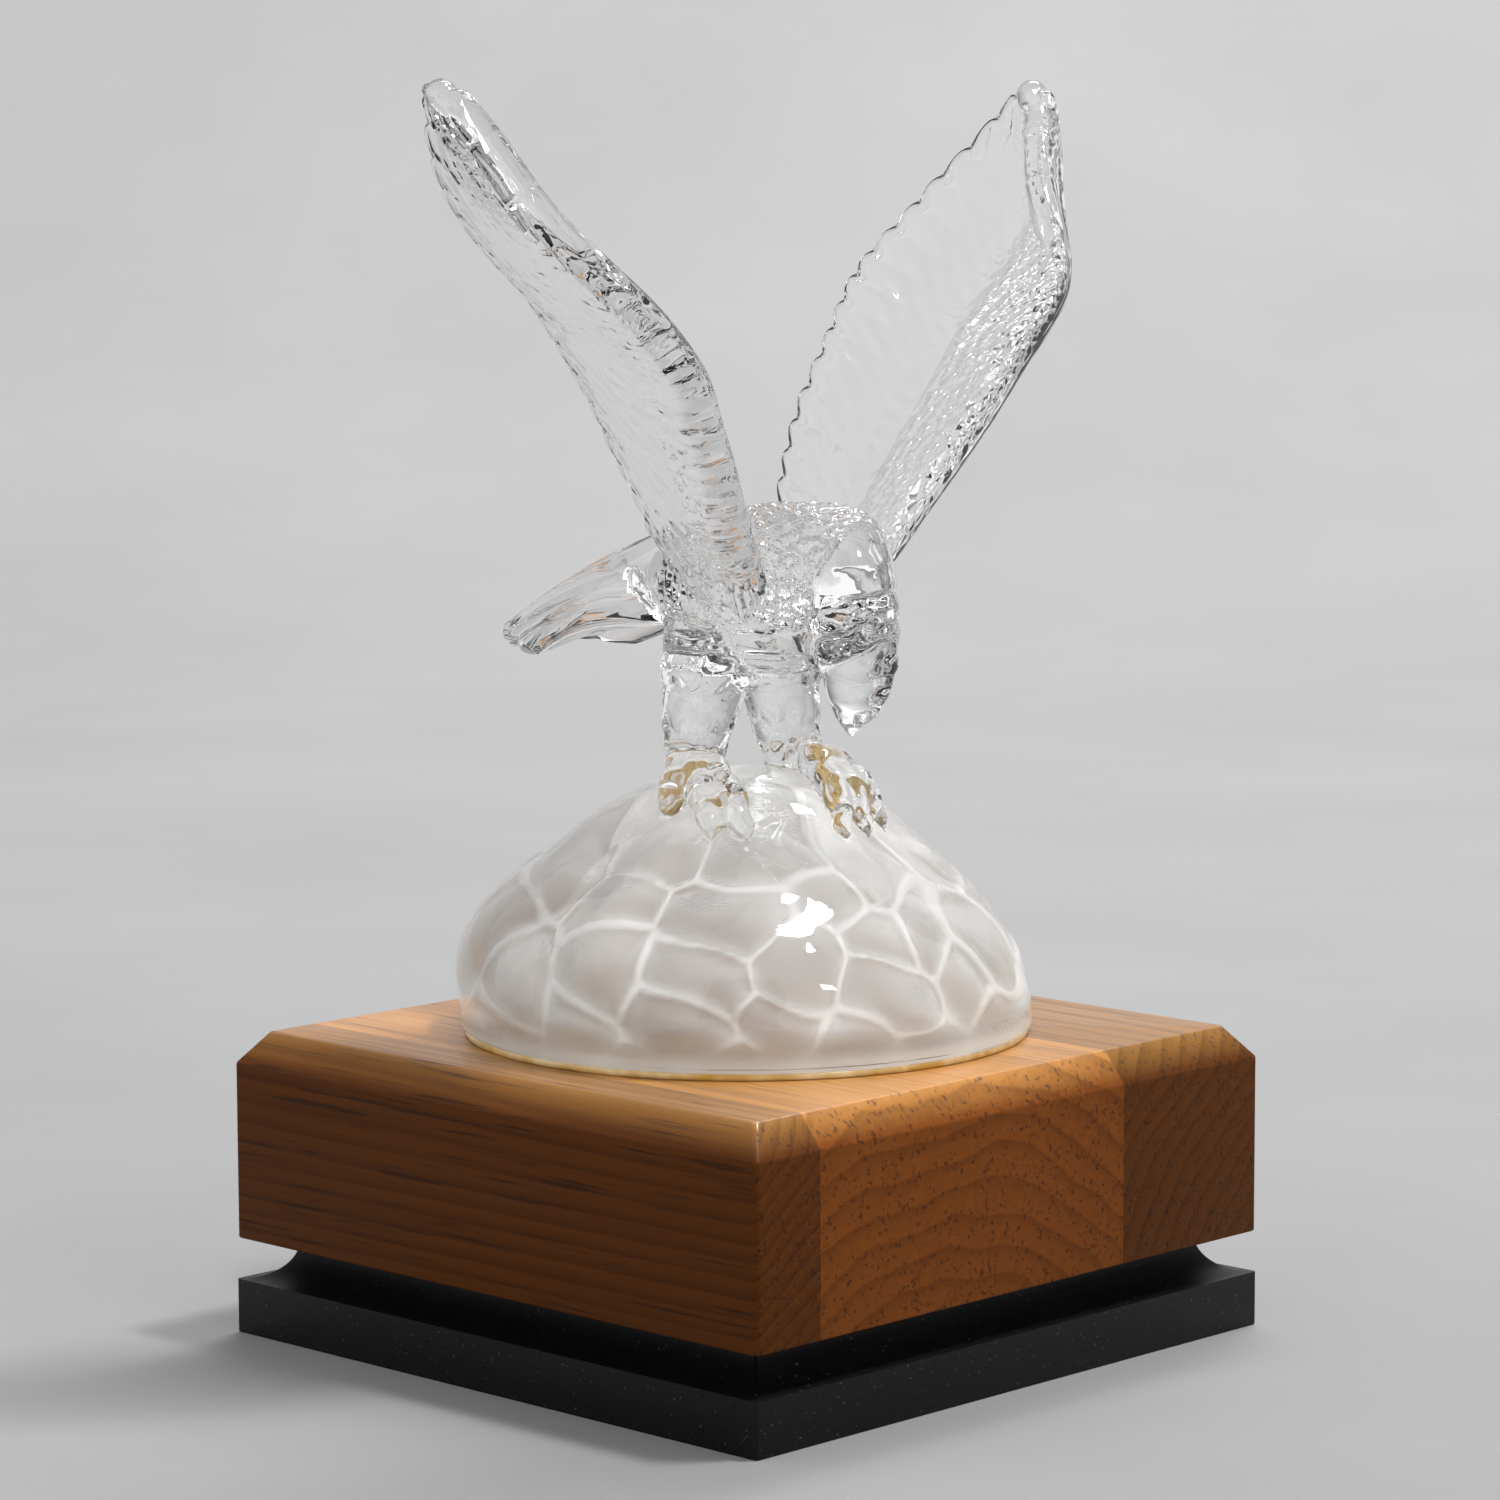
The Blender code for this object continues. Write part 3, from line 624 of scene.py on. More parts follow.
def makeWing(name, side, look):
    # A bowed sheet from the leading edge to the scalloped feather tips. Its half thickness is a round nose that
    # falls to a thin edge, plus a bead between the scallops, and each face adds its relief.
    grid = np.linspace(0, 1, look["columns"])
    stations = splinePoints(np.stack([look["leadStations"], look["trailStations"]], -1), grid)
    lead = splinePoints(look["lead"], stations[:, 0])
    trail = splinePoints(look["trail"], stations[:, 1])
    part = (stations[:, 1] * look["primaries"]) % 1.0
    bulge = np.sin(np.pi * part**1.5) ** 0.7
    chord = trail - lead
    toTrail = unit(chord)
    lead = lead - toTrail * look["leadOffset"]
    normal = unit(np.cross(np.gradient(0.5 * (lead + trail), axis=0), chord))
    reach = toTrail * (look["scallop"] * (bulge - 0.55) * softStep(grid / 0.1))[:, None]
    chord = trail - lead
    length = np.linalg.norm(chord, axis=1)
    even = np.linspace(0, 1, look["rows"])
    share = 0.55 * (1 - np.cos(np.pi * even)) / 2 + 0.45 * even
    radius = look["rootRadius"] + (look["tipRadius"] - look["rootRadius"]) * grid
    distance = share[None, :] * length[:, None]
    nose = roundOff(1 - distance / radius[:, None])
    fall = np.clip((distance - radius[:, None]) / np.maximum(length - radius, 0.5)[:, None], 0, 1)
    half = nose * (look["edge"] + (radius[:, None] - look["edge"]) * (1 - fall) ** 1.7)
    tail = roundOff(1 - (length[:, None] - distance) / 0.9)
    bead = np.exp(-(((1 - share) / 0.035) ** 2))[None, :] * ((1 - bulge) * softStep(grid / 0.1))[:, None]
    half = (half + look["bead"] * bead) * tail
    outside, inside = wingRelief(look, stations[:, 1][:, None], grid[:, None], share[None, :])
    close = roundOff((grid - 0.965) / 0.0351)
    front = (half + outside * nose * tail) * close[:, None]
    back = (half + inside * nose * tail) * close[:, None]
    bow = look["camber"] * np.sin(np.pi * share)[None, :] * softStep(length / 20)[:, None]
    middle = lead[:, None] + chord[:, None] * share[None, :, None] + normal[:, None] * bow[..., None]
    middle = middle + reach[:, None] * softStep((share - 0.55) / 0.45)[None, :, None]
    upper = middle + normal[:, None] * front[..., None]
    lower = middle - normal[:, None] * back[..., None]
    loop = np.concatenate([upper, lower[:, ::-1][:, 1:-1]], 1)
    wing = placedSkin(name, loop * np.array([side, 1, 1]))
    strength = 1.0 if side > 0 else look["nearMarks"]
    marks = softStep((0.40 - share) / 0.06)[None, :] * (softStep((0.94 - grid) / 0.08) * (grid > 0.02))[:, None]
    marks = np.concatenate([0 * marks, strength * marks[:, ::-1][:, 1:-1]], 1).ravel()
    addAttribute(wing, "scales", np.concatenate([marks, [0, 0]]))
    return wing


def makeLeadTube(name, side, look):
    # The round front edge, a tube that runs inside the blade's nose and ends in the wing's round tip
    at = np.linspace(0.5, 1, 70)
    lead, trail = splinePoints(look["lead"], at), splinePoints(look["trail"], at)
    back = unit(trail - lead)
    radius = look["tubeRoot"] + (look["tubeTip"] - look["tubeRoot"]) * softStep((at - 0.5) / 0.25)
    path = np.column_stack([lead + back * (radius - 0.6)[:, None], radius])
    path[:, :3] += np.array(look["tipSlip"]) * softStep((at - 0.9) / 0.1)[:, None]
    heading = unit(path[-1, :3] - path[-4, :3])
    turn = np.radians(np.linspace(12, 88, 8))
    cap = path[-1, :3] + heading * (path[-1, 3] * np.sin(turn))[:, None]
    path = np.vstack([path, np.column_stack([cap, path[-1, 3] * np.cos(turn)])])
    path[:, 0] *= side
    return limb(name, path, 28)


# Crystal: body, head, legs and tail
bodyLook = {
    "rings": (
        (-29.0, 94.5, 3.0, 2.5), (-26.0, 94.0, 6.5, 6.0), (-19.0, 92.5, 10.0, 9.5), (-9.0, 91.5, 13.0, 14.0),
        (2.0, 91.5, 15.5, 17.0), (12.0, 92.0, 16.5, 18.0), (20.0, 93.5, 15.5, 16.5), (26.0, 95.0, 12.5, 13.0),
        (29.5, 96.0, 8.5, 8.5), (31.0, 96.5, 3.5, 3.5),
    ),
    "head": (
        (19.5, 110.0, 3.0, 4.0), (21.0, 108.7, 8.0, 9.5), (24.0, 104.0, 10.5, 12.2), (26.8, 98.5, 10.6, 11.6),
        (28.4, 94.6, 10.2, 11.0), (28.9, 92.9, 9.6, 10.4), (29.6, 91.2, 9.7, 10.5), (30.8, 86.0, 9.0, 9.9),
        (31.1, 83.6, 8.3, 9.2), (31.5, 82.0, 8.4, 9.3), (31.8, 78.0, 7.6, 8.6), (32.0, 75.6, 6.8, 7.8),
        (32.1, 74.0, 6.6, 7.6), (31.6, 69.6, 4.9, 5.8), (30.8, 66.4, 3.0, 3.6), (30.1, 64.4, 1.7, 2.0),
        (29.8, 63.0, 0.6, 0.7),
    ),
    "leg": (
        (7.6, 0.0, 84.0, 12.0), (9.5, -1.5, 76.0, 9.8), (10.6, -2.5, 69.0, 8.2), (11.2, -3.2, 63.0, 7.2),
        (12.0, -3.4, 58.0, 6.2), (12.9, -3.2, 54.0, 5.6), (13.2, -2.6, 48.0, 6.0),
    ),
    "leftStride": 8.0,
    "ankle": (13.2, -2.8),
    "rightToes": ((27.0, 4.1, 3.3), (27.5, 17.0, 2.8), (23.5, 23.0, 2.8), (6.0, -14.0, 2.6)),
    "leftToes": ((-4.5, 33.2, 2.0), (2.0, 33.3, 2.0), (9.0, 31.3, 2.0), (16.0, -8.0, 2.6)),
    "toeRadius": 3.8,
    "voxel": 0.9,
}

tailLook = {
    "root": (-12.0, 101.5),
    "end": (-70.2, 77.9),
    "rootHalf": 8.0,
    "endHalf": 15.0,
    "rootDrop": 17.5,
    "endDrop": 2.6,
    "rounding": 22.0,
    "camber": 2.0,
    "sideCamber": 3.4,
    "thickness": 8.0,
    "edge": 1.5,
    "feathers": 9,
    "columns": 91,
    "rows": 34,
}


def makeBody(look):
    # Ellipses square to a line from the rump to the breast
    forward, up, wide, deep = splinePoints(look["rings"], np.linspace(0, 1, 60)).T
    slope = np.gradient(np.stack([forward, up]), axis=1)
    slope /= np.linalg.norm(slope, axis=0)
    turn = np.linspace(0, 2 * np.pi, 64, endpoint=False)[None, :]
    across = np.cos(turn) * wide[:, None]
    rise = np.sin(turn) * deep[:, None]
    rings = place(across, forward[:, None] - slope[1][:, None] * rise, up[:, None] + slope[0][:, None] * rise)
    return newPiece("body", *closedSkin(rings))


def makeHead(look):
    # Level ellipses from the nape down to the point of the beak
    forward, up, wide, long = splinePoints(look["head"], np.linspace(0, 1, 120)).T[:, :, None]
    turn = np.linspace(0, 2 * np.pi, 56, endpoint=False)[None, :]
    rings = place(np.cos(turn) * wide, forward + np.sin(turn) * long, up + 0 * turn)
    return newPiece("head", *closedSkin(rings))


def limb(name, path, sides=24):
    # Circles square to a path of out, forward, up and radius
    path = np.asarray(path, float)
    heading = unit(np.gradient(path[:, :3], axis=0))
    level = np.abs(heading[:, 2:3]) < 0.8
    spare = np.where(level, np.array([[0.0, 0.0, 1.0]]), np.array([[0.0, 1.0, 0.0]]))
    across = unit(np.cross(heading, spare))
    rise = np.cross(across, heading)
    turn = np.linspace(0, 2 * np.pi, sides, endpoint=False)[None, :, None]
    rings = path[:, None, :3] + path[:, None, 3:] * (np.cos(turn) * across[:, None] + np.sin(turn) * rise[:, None])
    return placedSkin(name, rings)


def tailEdge(along, spot, half, drop, rounding):
    # A cross edge of the fan, arched by drop and bowed back by rounding
    across = 2 * along - 1
    return np.stack([across * half, spot[0] + rounding * across**2, spot[1] - drop * across**2], -1)


def makeTail(look):
    # Feathers side by side from the rump to a rounded end, with lines along each
    along = np.linspace(0, 1, look["columns"])
    root = tailEdge(along, look["root"], look["rootHalf"], look["rootDrop"], 0)
    end = tailEdge(along, look["end"], look["endHalf"], look["endDrop"], look["rounding"])
    side = 2 * ((along * look["feathers"]) % 1.0) - 1
    chord = end - root
    normal = unit(np.cross(np.gradient(0.5 * (root + end), axis=0), chord))
    reach = unit(chord) * (1.4 * (0.4 - side**2))[:, None]
    share = np.linspace(0, 1, look["rows"])
    flat = 1 - 0.8 * (2 * along - 1) ** 2
    closing = roundOff(np.abs(2 * along - 1) ** 3)[:, None]
    tipped = roundOff((share - 0.975) / 0.0251)[None, :]
    half = look["edge"] + 0.5 * (look["thickness"] - look["edge"]) * flat[:, None] * (1 - share[None, :]) ** 0.8
    lines = 0.12 * (1 - side**2) - 0.03 * np.exp(-((side / 0.3) ** 2))
    relief = lines[:, None] * softStep((share - 0.15) / 0.2)[None, :]
    half = (half + relief) * closing * tipped
    middle = root[:, None] + chord[:, None] * share[None, :, None]
    middle = middle + reach[:, None] * softStep((share - 0.6) / 0.4)[None, :, None]
    bow = (look["camber"] + look["sideCamber"] * (2 * along - 1) ** 2)[:, None] * np.sin(np.pi * share)[None, :]
    middle = middle - normal[:, None] * bow[..., None]
    upper = middle + normal[:, None] * half[..., None]
    lower = middle - normal[:, None] * half[..., None]
    loop = np.concatenate([upper, lower[:, ::-1][:, 1:]], 1)
    return placedSkin("tail", loop)


# Crystal: the rock mound with its frosted cavity
moundLook = {
    "radius": 60.0,
    "profile": (
        (0.0, 54.4), (0.100, 54.0), (0.210, 53.0), (0.330, 50.8), (0.455, 47.0), (0.560, 42.6), (0.660, 37.5),
        (0.775, 31.6), (0.880, 25.3), (0.955, 18.5), (0.992, 12.0), (1.000, 6.0),
    ),
    "crown": 54.0,
    "rimRounding": 1.6,
    "rimWidth": 7.5,
    "cavity": (
        (0.0, 0.0), (0.1, 3.0), (0.6, 8.0), (2.8, 15.0), (7.5, 22.0),
        (14.5, 28.5), (23.0, 34.5), (32.0, 39.5), (42.0, 43.2), (51.5, 44.6),
    ),
    "cavityRows": 84,
    "wall": 6.5,
    "lean": (-2.0, 2.0),
    "columns": 280,
    "outerRelief": 0.9,
    "cells": (
        (7.1, 10.0), (31.0, 12.8), (45.8, 12.8), (29.2, 24.6), (-44.0, 12.8), (-25.5, 19.3), (-5.8, 18.0),
        (-24.3, 28.8), (-2.2, 28.0), (11.4, 20.9), (17.5, 31.0), (-49.5, 22.6), (-33.0, 7.7), (-13.0, 8.7),
        (20.0, 3.4), (39.6, 22.7), (49.0, 17.0), (-16.0, 40.0), (7.6, 38.0), (27.0, 33.6), (-38.0, 31.0),
        (-46.0, 4.0), (-2.0, -1.0), (50.0, 5.0), (-23.0, -1.0), (36.0, 2.0),
    ),
    "cellRidge": 1.3,
    "cellHollow": 2.6,
    "cellWarp": 1.7,
    "nearSide": 0.34,
}


def moundRadius(up, look):
    # The outline's radius at a height, read off the profile turned round
    rows = sorted((height, share * look["radius"]) for share, height in look["profile"])
    return np.interp(up, [row[0] for row in rows], [row[1] for row in rows])


def cellSeeds(look):
    # Cell middles on the cavity: (to the right, up) on the side of the camera, and again turned to the back
    turn = math.radians(viewpoint["azimuth"])
    right = np.array([math.cos(turn), math.sin(turn)])
    near = np.array([math.sin(turn), -math.cos(turn)])
    cells = np.array(look["cells"])
    reach = moundRadius(cells[:, 1], look) - look["wall"]
    seeds = []
    for facing, slip in ((1, 0.0), (-1, 3.0)):
        aside = np.clip(cells[:, 0] * facing + slip, -reach * 0.97, reach * 0.97)
        depth = np.sqrt(np.maximum(reach**2 - aside**2, 0)) * facing
        flat = aside[:, None] * right + depth[:, None] * near
        seeds.append(np.column_stack([flat, cells[:, 1]]))
    return np.vstack(seeds)


def cellDistances(points, look):
    # Distance to the nearest cell middle, and how much farther the second nearest is (0 on the ridge between two
    # cells), read at points pushed about by slow waves so that the ridges curve
    waves = [np.sin(points[..., (k + 1) % 3] / 4.2 + k) + np.sin(points[..., k] / 7.5) for k in range(3)]
    apart = (points + look["cellWarp"] * np.stack(waves, -1))[..., None, :] - cellSeeds(look)
    nearness = np.sort(np.sqrt((apart**2 * np.array([1.0, 1.0, 1.6])).sum(-1)), axis=-1)
    return nearness[..., 0], nearness[..., 1] - nearness[..., 0]


def moundHeight(out, forward, look):
    # The outside's height at a spot, from its share of the rim's radius
    share = np.hypot(out, forward) / look["radius"]
    return np.interp(share, [row[0] for row in look["profile"]], [row[1] for row in look["profile"]])


def lathe(radii, ups, columns, nearSide=0.0):
    # Turns a profile of radius and height round the upright axis, with its columns closer on the near side
    turn = np.linspace(0, 2 * np.pi, columns, endpoint=False)[None, :]
    turn = turn + nearSide * np.sin(turn - math.radians(viewpoint["azimuth"]) - np.pi / 2)
    radii, ups = np.asarray(radii)[:, None], np.asarray(ups)[:, None]
    return np.stack([radii * np.cos(turn), radii * np.sin(turn), ups + 0 * turn], -1)


def moundProfile(look):
    # Radius and height of the outside from the crown down, then round the rim, then up the cavity to its crown
    outer = splinePoints([(share * look["radius"], up) for share, up in look["profile"]], np.linspace(0.02, 1, 36))
    turn = np.radians(np.linspace(15, 90, 6))
    rounding = look["rimRounding"]
    rim = np.stack([look["radius"] - rounding * (1 - np.cos(turn)), rounding * (1 - np.sin(turn))], -1)
    foot = look["radius"] - look["rimWidth"]
    cavity = [(foot - inset, up) for inset, up in look["cavity"]]
    inner = splinePoints(cavity, np.linspace(0, 1, look["cavityRows"]))
    return np.vstack([outer, rim, [[foot + 0.8, 0.0]], inner]), len(outer) + len(rim) + 1


def moundPush(rings, look):
    # How far rock slabs push the outside, how far ridges and hollow cells push the cavity, and the ridges' gap
    middle, gap = cellDistances(rings, look)
    height = rings[..., 2] / look["crown"]
    swing = np.arctan2(rings[..., 1], rings[..., 0])
    facets = np.sin(6.5 * (swing + 2.1 * height + np.sin(swing))) * np.cos(9.1 * height + 3 * swing)
    facets = facets + 0.45 * np.sin(17 * swing + 6 * np.sin(7 * height)) * np.sin(21 * height + 2 * swing)
    slabs = np.sin(3 * swing + 5 * height + 0.7)
    fade = np.sin(np.pi * np.clip(height * 1.08 - 0.06, 0, 1))
    outerPush = look["outerRelief"] * (0.65 * facets + 0.35 * slabs) * fade
    ridges = 0.5 * np.exp(-((gap / 1.5) ** 2)) + 0.5 * np.exp(-((gap / 4.5) ** 2))
    hollows = np.clip(middle / 11.0, 0, 1.2) ** 2 - 0.5
    innerPush = (look["cellRidge"] * ridges - look["cellHollow"] * hollows) * softStep((rings[..., 2] - 3) / 6)
    return outerPush, innerPush, gap


def makeMound(look):
    # One closed skin: the profile turned, pushed away from the middle of its foot, and leaning a little halfway up
    profile, outerRows = moundProfile(look)
    rings = lathe(profile[:, 0], profile[:, 1], look["columns"], look["nearSide"])
    outerPush, innerPush, gap = moundPush(rings, look)
    isInner = np.arange(len(profile)) >= outerRows
    push = np.where(isInner[:, None], innerPush, outerPush)
    leaning = np.sin(np.pi * np.clip(rings[..., 2] / look["crown"], 0, 1)) ** 2
    outward = rings * np.array([1.0, 1.0, 0.9])
    outward /= np.linalg.norm(outward, axis=-1)[..., None] + 1e-9
    rings = rings + outward * push[..., None] + leaning[..., None] * np.array([*look["lean"], 0.0])
    mound = newPiece("crystalEagle", *closedSkin(onBase(rings)))
    addAttribute(mound, "ridgeGap", np.concatenate([gap.ravel(), [gap[0].mean(), gap[-1].mean()]]))
    frosted = (profile[:-1, 1] > 0.8) & isInner[:-1]
    finish = np.zeros(len(mound.data.polygons), np.int32)
    finish[: len(frosted) * look["columns"]] = np.repeat(frosted, look["columns"])
    finish[-look["columns"]:] = 1
    mound.data.polygons.foreach_set("material_index", finish)
    return mound


def legPath(look, side):
    # From the hip to the ankle; the left leg steps forward
    stride = look["leftStride"] if side > 0 else 0.0
    path = splinePoints(look["leg"], np.linspace(0, 1, 30))
    path[:, 1] += stride * np.linspace(0, 1, 30)
    path[:, 0] *= side
    return path


def toePath(look, side, end):
    # From the ankle over the knuckles and down the rock, with a bulge at each joint
    stride = look["leftStride"] if side > 0 else 0.0
    share = np.linspace(0, 1, 26)
    out = look["ankle"][0] + (end[0] - look["ankle"][0]) * share
    heel = look["ankle"][1] + stride
    forward = heel + (end[1] - heel) * share
    radius = look["toeRadius"] + (end[2] - look["toeRadius"]) * share**3
    radius = radius * (1 + 0.10 * np.cos(share * 6 * np.pi)) * np.sqrt(np.clip(1.02 - share**14, 0, 1))
    lift = 0.55 * radius + 1.6 * np.sin(np.pi * share) - 0.7 * share**3
    up = moundHeight(out, forward, moundLook) + lift
    return np.stack([side * out, forward, up, radius], -1)


def coreRelief(points):
    # Small feathers on neck, breast and legs, knuckles on the toes, creases on the face, all in millimetres, and
    # how far a point belongs to the neck
    out, forward, up = points[:, 0] * 1000, -points[:, 1] * 1000, (points[:, 2] - baseHeight) * 1000
    around = np.arctan2(out, up - 92.0)
    along = forward + 0.35 * (110 - up) * softStep((forward - 8) / 10)
    small = scaleRows(around * 6.0, along / 3.0, 1.0)
    neck = softStep((up - 84) / 8) * softStep((forward + 18) / 8) * softStep((36 - along) / 3)
    breast = scaleRows(around * 4.5 + 0.3, (96 - up) / 4.2, 0.6) * softStep((up - 70) / 6)
    breast = breast * softStep((96 - up) / 8) * softStep((24 - forward) / 6)
    swing = np.arctan2(np.abs(out) - 11.5, forward + 1.5 - 5 * (out > 0))
    legs = scaleRows(swing * 1.3, (98 - up) / 9.0, 0.7) + 0.15 * np.sin(swing * 9 + up * 0.4)
    legs = legs * softStep((up - 54) / 4) * softStep((84 - up) / 8) * softStep((18 - forward) / 4)
    knuckles = np.sin(np.pi * np.hypot(np.abs(out) - 13.2, forward - 1.2) / 2.1)
    toes = 0.22 * knuckles * softStep((56 - up) / 3)
    face = 0.35 * np.sin(up * 0.95) * np.sin(np.abs(out) * 0.8 + 0.6)
    face = face * softStep((forward - 26) / 4) * softStep((92 - up) / 3)
    return small * neck + breast + legs + toes + face, neck


def makeCore(look):
    # Body, head, legs and toes run together as glass does, then the relief moves each point along its normal
    core = makeBody(look)
    others = [makeHead(look)]
    for side, toes in ((1, look["leftToes"]), (-1, look["rightToes"])):
        others.append(limb("leg", legPath(look, side)))
        for end in toes:
            others.append(limb("toe", toePath(look, side, end), 16))
    fuse(core, others)
    blend = core.modifiers.new("melt", "REMESH")
    blend.mode = "VOXEL"
    blend.voxel_size = look["voxel"] / 1000
    relax = core.modifiers.new("relax", "SMOOTH")
    relax.factor = 0.5
    relax.iterations = 4
    applyModifiers(core)
    points = readRows(core.data.vertices, "co")
    relief, neck = coreRelief(points)
    points = points + readRows(core.data.vertex_normals, "vector") * (relief / 1000)[:, None]
    core.data.vertices.foreach_set("co", points.ravel())
    core.data.update()
    addAttribute(core, "scales", 0.6 * neck)
    return core


crystalLook = {
    "clear": {"Base_Color": (0.997, 1.0, 1.0, 1), "Roughness": 0.0, "IOR": 1.54, "Transmission_Weight": 1.0},
    "frost": {"Base_Color": (0.96, 0.945, 0.915, 1), "Roughness": 0.5, "IOR": 1.5, "Transmission_Weight": 1.0},
    "scaleRelief": 1.8,
    "ridgeWhite": (0.96, 0.95, 0.93, 1),
    "lineWhite": 0.56,
    "swellWhite": 0.12,
    "cellWhite": 0.46,
    "bandWhite": 0.74,
    "rimWhite": 0.45,
    "shadeColour": (0.70, 0.635, 0.57, 1),
    # Painted light: extra white scatter toward the cavity's crown
    "paintedCrownLight": 0.30,
}


def clearFinish(look):
    # Polished lead crystal: faint waves of a pressed piece, and small scales where the mesh is marked for them
    glass = Finish("leadCrystal", **look["clear"])
    at = glass.coordinates()
    waves = noiseOf(glass, at, 95.0, 1.0)
    marked = glass.add("ShaderNodeAttribute", {"attribute_name": "scales"}, output=2)
    cells = {"Vector": at, "Scale": 400.0}
    scales = 1.0 - glass.add("ShaderNodeTexVoronoi", {"feature": "F1"}, cells)
    glass.feed("Normal", bumpOf(glass, waves * 0.2 + scales * marked * look["scaleRelief"], 1.0, 0.001))
    return glass.material


def frostFinish(look):
    # Acid-frosted cavity: thin pale ridges between uneven cells scatter more light than the cells do, the band
    # above the rim less. The crown and the low wall are painted whiter, as painted light.
    glass = Finish("frostedCavity", **look["frost"])
    at = glass.coordinates()
    gap = glass.add("ShaderNodeAttribute", {"attribute_name": "ridgeGap"}, output=2)
    above = axisOf(glass, at, 2) * 1000.0 - baseHeight * 1000.0
    width = rangeOf(glass, noiseOf(glass, at, 22.0, 1.0), 0.6, 1.5, 0.35, 0.65)
    line = rangeOf(glass, gap * width, 1.0, 0.0, 0.5, 2.0) * rangeOf(glass, above, 0.0, 1.0, 2.5, 6.0)
    swell = rangeOf(glass, gap, 1.0, 0.0, 0.0, 7.0)
    band = rangeOf(glass, above, look["bandWhite"], 1.0, 4.2, 5.6)
    # Painted light: the scatter rises toward the crown, whiter where light from above falls
    crown = rangeOf(glass, above, 0.0, look["paintedCrownLight"], 34.0, 43.0)
    grain = noiseOf(glass, at, 2600.0, 1.0)
    glass.feed("Roughness", rangeOf(glass, noiseOf(glass, at, 40.0, 1.0), 0.38, 0.58))
    glass.feed("Normal", bumpOf(glass, grain, 0.2, 0.0002))
    scatter = glass.add("ShaderNodeBsdfPrincipled", sockets={"Base Color": look["ridgeWhite"], "Roughness": 0.8})
    foot = rangeOf(glass, above, look["rimWhite"], 0.0, 1.6, 2.8)
    shade = rangeOf(glass, noiseOf(glass, at, 30.0, 2.0), 0.0, 1.0, 0.5, 0.68)
    glass.feed("Base Color", mixOf(glass, shade, look["frost"]["Base_Color"], look["shadeColour"]))
    # Painted light: extra white on the low wall, fading out by 18 mm up, and less in the shade patches
    low = rangeOf(glass, above, 0.14, 0.0, 7.0, 18.0) - shade * 0.16
    white = line * look["lineWhite"] + swell * look["swellWhite"] + crown + low + look["cellWhite"]
    body = Flow(glass.tree, glass.shader.outputs[0])
    both = glass.add("ShaderNodeMixShader", sockets={0: white * band + foot, 1: body, 2: scatter})
    glass.link(both, glass.output.inputs["Surface"])
    return glass.material


crystal = makeMound(moundLook)
crystal.data.materials.append(clearFinish(crystalLook))
crystal.data.materials.append(frostFinish(crystalLook))
print("mound made", len(crystal.data.polygons))
core = makeCore(bodyLook)
print("body made", len(core.data.polygons))
tail = makeTail(tailLook)
wings = [makeWing("leftWing", 1, wingLook), makeWing("rightWing", -1, wingLook)]
wings += [makeLeadTube("leftTube", 1, wingLook), makeLeadTube("rightTube", -1, wingLook)]
print("wings and tail made", len(wings[0].data.polygons), len(tail.data.polygons))
fuse(crystal, [core, tail] + wings)
smoothShade(crystal)
crystal.name = "crystalEagle"
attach(crystal, "root")
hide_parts("crystal_eagle")
print("crystal fused", sum(len(face.vertices) - 2 for face in crystal.data.polygons), "triangles")

# Adhesive line
adhesiveLook = {
    "outer": 59.3,
    "inner": 53.4,
    "low": -1.2,
    "high": 0.35,
    "colour": (0.62, 0.36, 0.07, 1),
    "pale": (0.85, 0.68, 0.36, 1),
}


def makeAdhesive(look):
    # A flat ring with a soft bead outside, from the wood up to the crystal's rim
    turn = np.radians(np.linspace(-90, 90, 9))
    half = (look["high"] - look["low"]) / 2
    middle = (look["high"] + look["low"]) / 2
    radii = np.concatenate([look["outer"] - 0.4 + 0.4 * np.cos(turn), [look["inner"], look["inner"]]])
    ups = np.concatenate([middle + half * np.sin(turn), [look["high"], look["low"]]])
    rings = lathe(radii, ups, 144)
    rings = np.concatenate([rings, rings[:1]], 0)
    rows, columns = rings.shape[:2]
    i, j = np.meshgrid(np.arange(rows - 1), np.arange(columns), indexing="ij")
    low, high, right = i, (i + 1) % (rows - 1), (j + 1) % columns
    quads = np.stack([low * columns + j, low * columns + right, high * columns + right, high * columns + j], -1)
    return newPiece("adhesiveRing", onBase(rings[:-1].reshape(-1, 3)), quads.reshape(-1, 4))


def amberFinish(look):
    # Old clear adhesive, yellowed, with bubbles and thin places
    resin = Finish("amberAdhesive", Base_Color=look["colour"], Roughness=0.25, Coat_Weight=0.5)
    at = resin.coordinates()
    patch = noiseOf(resin, at, 130.0, 3.0)
    colour = mixOf(resin, rangeOf(resin, patch, 0.0, 1.0, 0.35, 0.65), look["colour"], look["pale"])
    resin.feed("Base Color", colour)
    resin.feed("Normal", bumpOf(resin, noiseOf(resin, at, 900.0, 2.0), 0.3, 0.0002))
    return resin.material


adhesive = makeAdhesive(adhesiveLook)
smoothShade(adhesive, 40)
adhesive.data.materials.append(amberFinish(adhesiveLook))
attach(adhesive, "root")
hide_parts("adhesive_ring")
print("adhesive made")

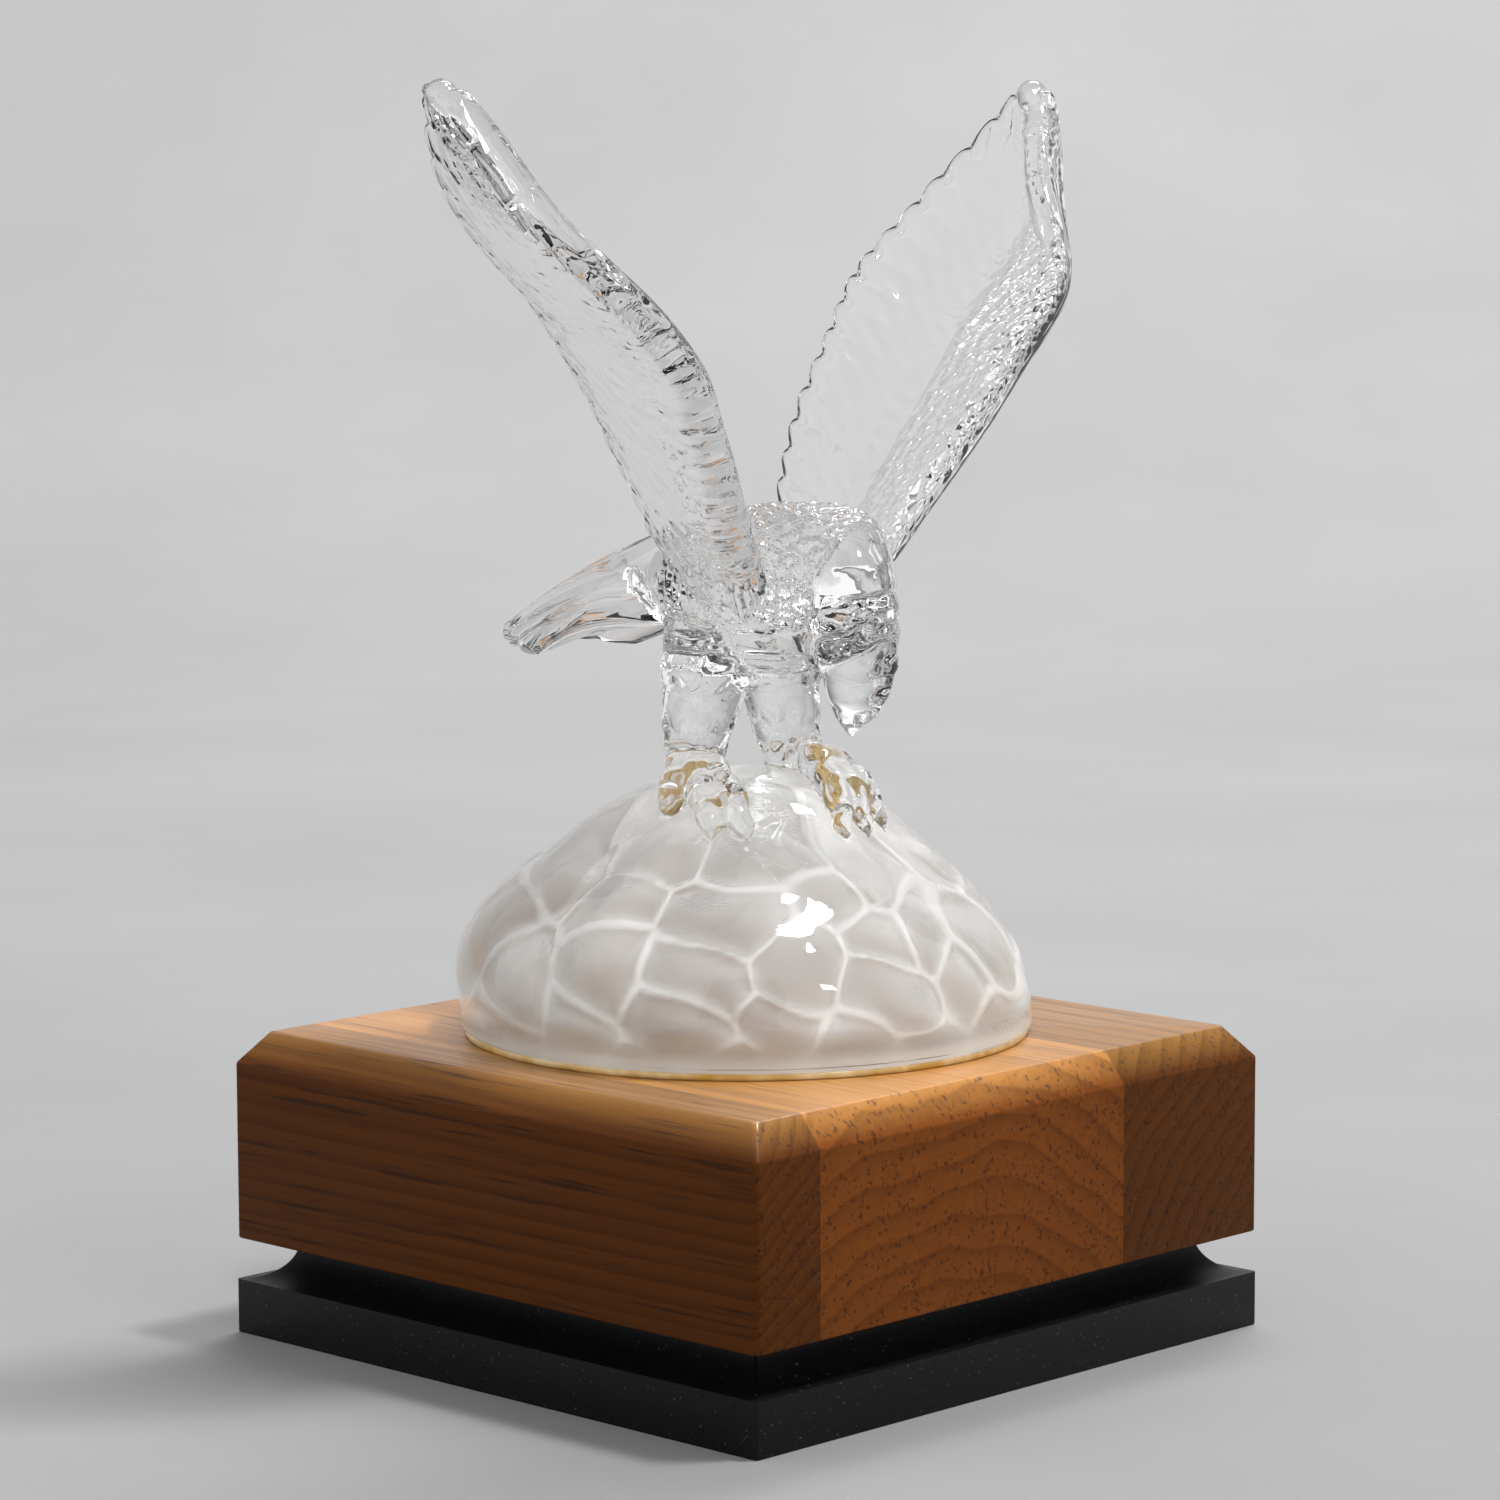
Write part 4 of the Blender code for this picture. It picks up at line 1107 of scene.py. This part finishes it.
# Studio
studio = {
    "floorLight": (0.236, 0.236, 0.238, 1),
    "floorDark": (0.195, 0.195, 0.197, 1),
    "worldColour": (0.81, 0.81, 0.812, 1),
    "worldStrength": 1.25,
    "floorNear": -3.0,
    "sweepHalf": 4.0,
    "sweepBend": 0.9,
    "wallAway": 2.0,
    "wallHigh": 3.4,
    "flagColour": (0.02, 0.02, 0.02, 1),
    "flagAway": -1.4,
    "flagHalf": 0.4,
    "flagHeights": (0.1, 1.1),
    "lamps": (
        ("keyLamp", (0.32, -0.44, 1.60), (0, 0, 0.12), 0.20, 0.14, 16.0),
        ("topLamp", (0.5, -0.5, 2.3), (0, 0, 0.12), 0.22, 0.22, 15.0),
        ("wallLamp", (1.2, 0.5, 2.2), (1.5, 1.7, 0.8), 1.6, 0.8, 84.0),
        ("frontLamp", (-0.2, -2.0, 1.3), (0, 0, 0.12), 0.3, 0.3, 5.0),
    ),
}


def stagePiece(name, points, faces, finish):
    # A plain mesh of the set, outside the object
    mesh = bpy.data.meshes.new(name)
    mesh.from_pydata(points.reshape(-1, 3).tolist(), [], faces.tolist())
    piece = addObject(name, mesh)
    piece.data.materials.append(finish)
    return piece


def paperFinish(look):
    # Pale paper with faint clouds
    paper = Finish("paleFloor", Base_Color=look["floorLight"], Roughness=0.9)
    clouds = noiseOf(paper, paper.coordinates(), 6.0, 4.0)
    paper.feed("Base Color", mixOf(paper, clouds, look["floorDark"], look["floorLight"]))
    return paper.material


def clothFinish(look):
    # Black cloth with a fine nap
    cloth = Finish("flagCloth", Base_Color=look["flagColour"], Roughness=0.9)
    cloth.feed("Normal", bumpOf(cloth, noiseOf(cloth, cloth.coordinates(), 300.0), 0.3, 0.001))
    return cloth.material


def upright(away, across, up):
    # Points from distances away from the camera, across its view and up
    turn = math.radians(viewpoint["azimuth"])
    flat = away[..., None] * np.array([-math.sin(turn), math.cos(turn)])
    flat = flat + across[..., None] * np.array([math.cos(turn), math.sin(turn)])
    return np.concatenate([flat, up[..., None]], -1)


def makeSweep(look):
    # A floor that curves up into a wall behind the object, square to the camera
    turn = np.radians(np.linspace(0, 90, 16))
    bend, wall = look["sweepBend"], look["wallAway"]
    far = np.concatenate([[look["floorNear"], 0.0], wall - bend + bend * np.sin(turn), [wall]])
    high = np.concatenate([[0.0, 0.0], bend * (1 - np.cos(turn)), [look["wallHigh"]]])
    far, wide = np.meshgrid(far, [-look["sweepHalf"], look["sweepHalf"]], indexing="ij")
    row = np.arange(len(high) - 1)
    quads = np.stack([2 * row, 2 * row + 1, 2 * row + 3, 2 * row + 2], -1)
    points = upright(far, wide, np.repeat(high[:, None], 2, 1))
    smoothShade(stagePiece("studioSweep", points, quads, paperFinish(look)))


def makeFlag(look):
    # A dark sheet beside the camera that the glass mirrors as thin dark lines
    half = look["flagHalf"]
    low, high = look["flagHeights"]
    across = np.array([-half, half, half, -half])
    points = upright(np.full(4, look["flagAway"]), across, np.array([low, low, high, high]))
    stagePiece("blackFlag", points, np.array([[0, 1, 2, 3]]), clothFinish(look))


def makeLights(look):
    # An even pale sky, and lamps turned toward their targets
    world = bpy.data.worlds.new("studioAir")
    world.use_nodes = True
    sky = world.node_tree.nodes["Background"]
    sky.inputs["Color"].default_value = look["worldColour"]
    sky.inputs["Strength"].default_value = look["worldStrength"]
    bpy.context.scene.world = world
    for name, spot, target, width, depth, power in look["lamps"]:
        data = bpy.data.lights.new(name, "AREA")
        data.shape = "RECTANGLE"
        data.size, data.size_y = width, depth
        data.energy = power
        lamp = addObject(name, data)
        lamp.location = spot
        lamp.rotation_euler = (Vector(target) - Vector(spot)).to_track_quat("-Z", "Y").to_euler()


makeSweep(studio)
makeFlag(studio)
makeLights(studio)
bpy.context.scene.view_settings.view_transform = "Standard"
print("studio made")
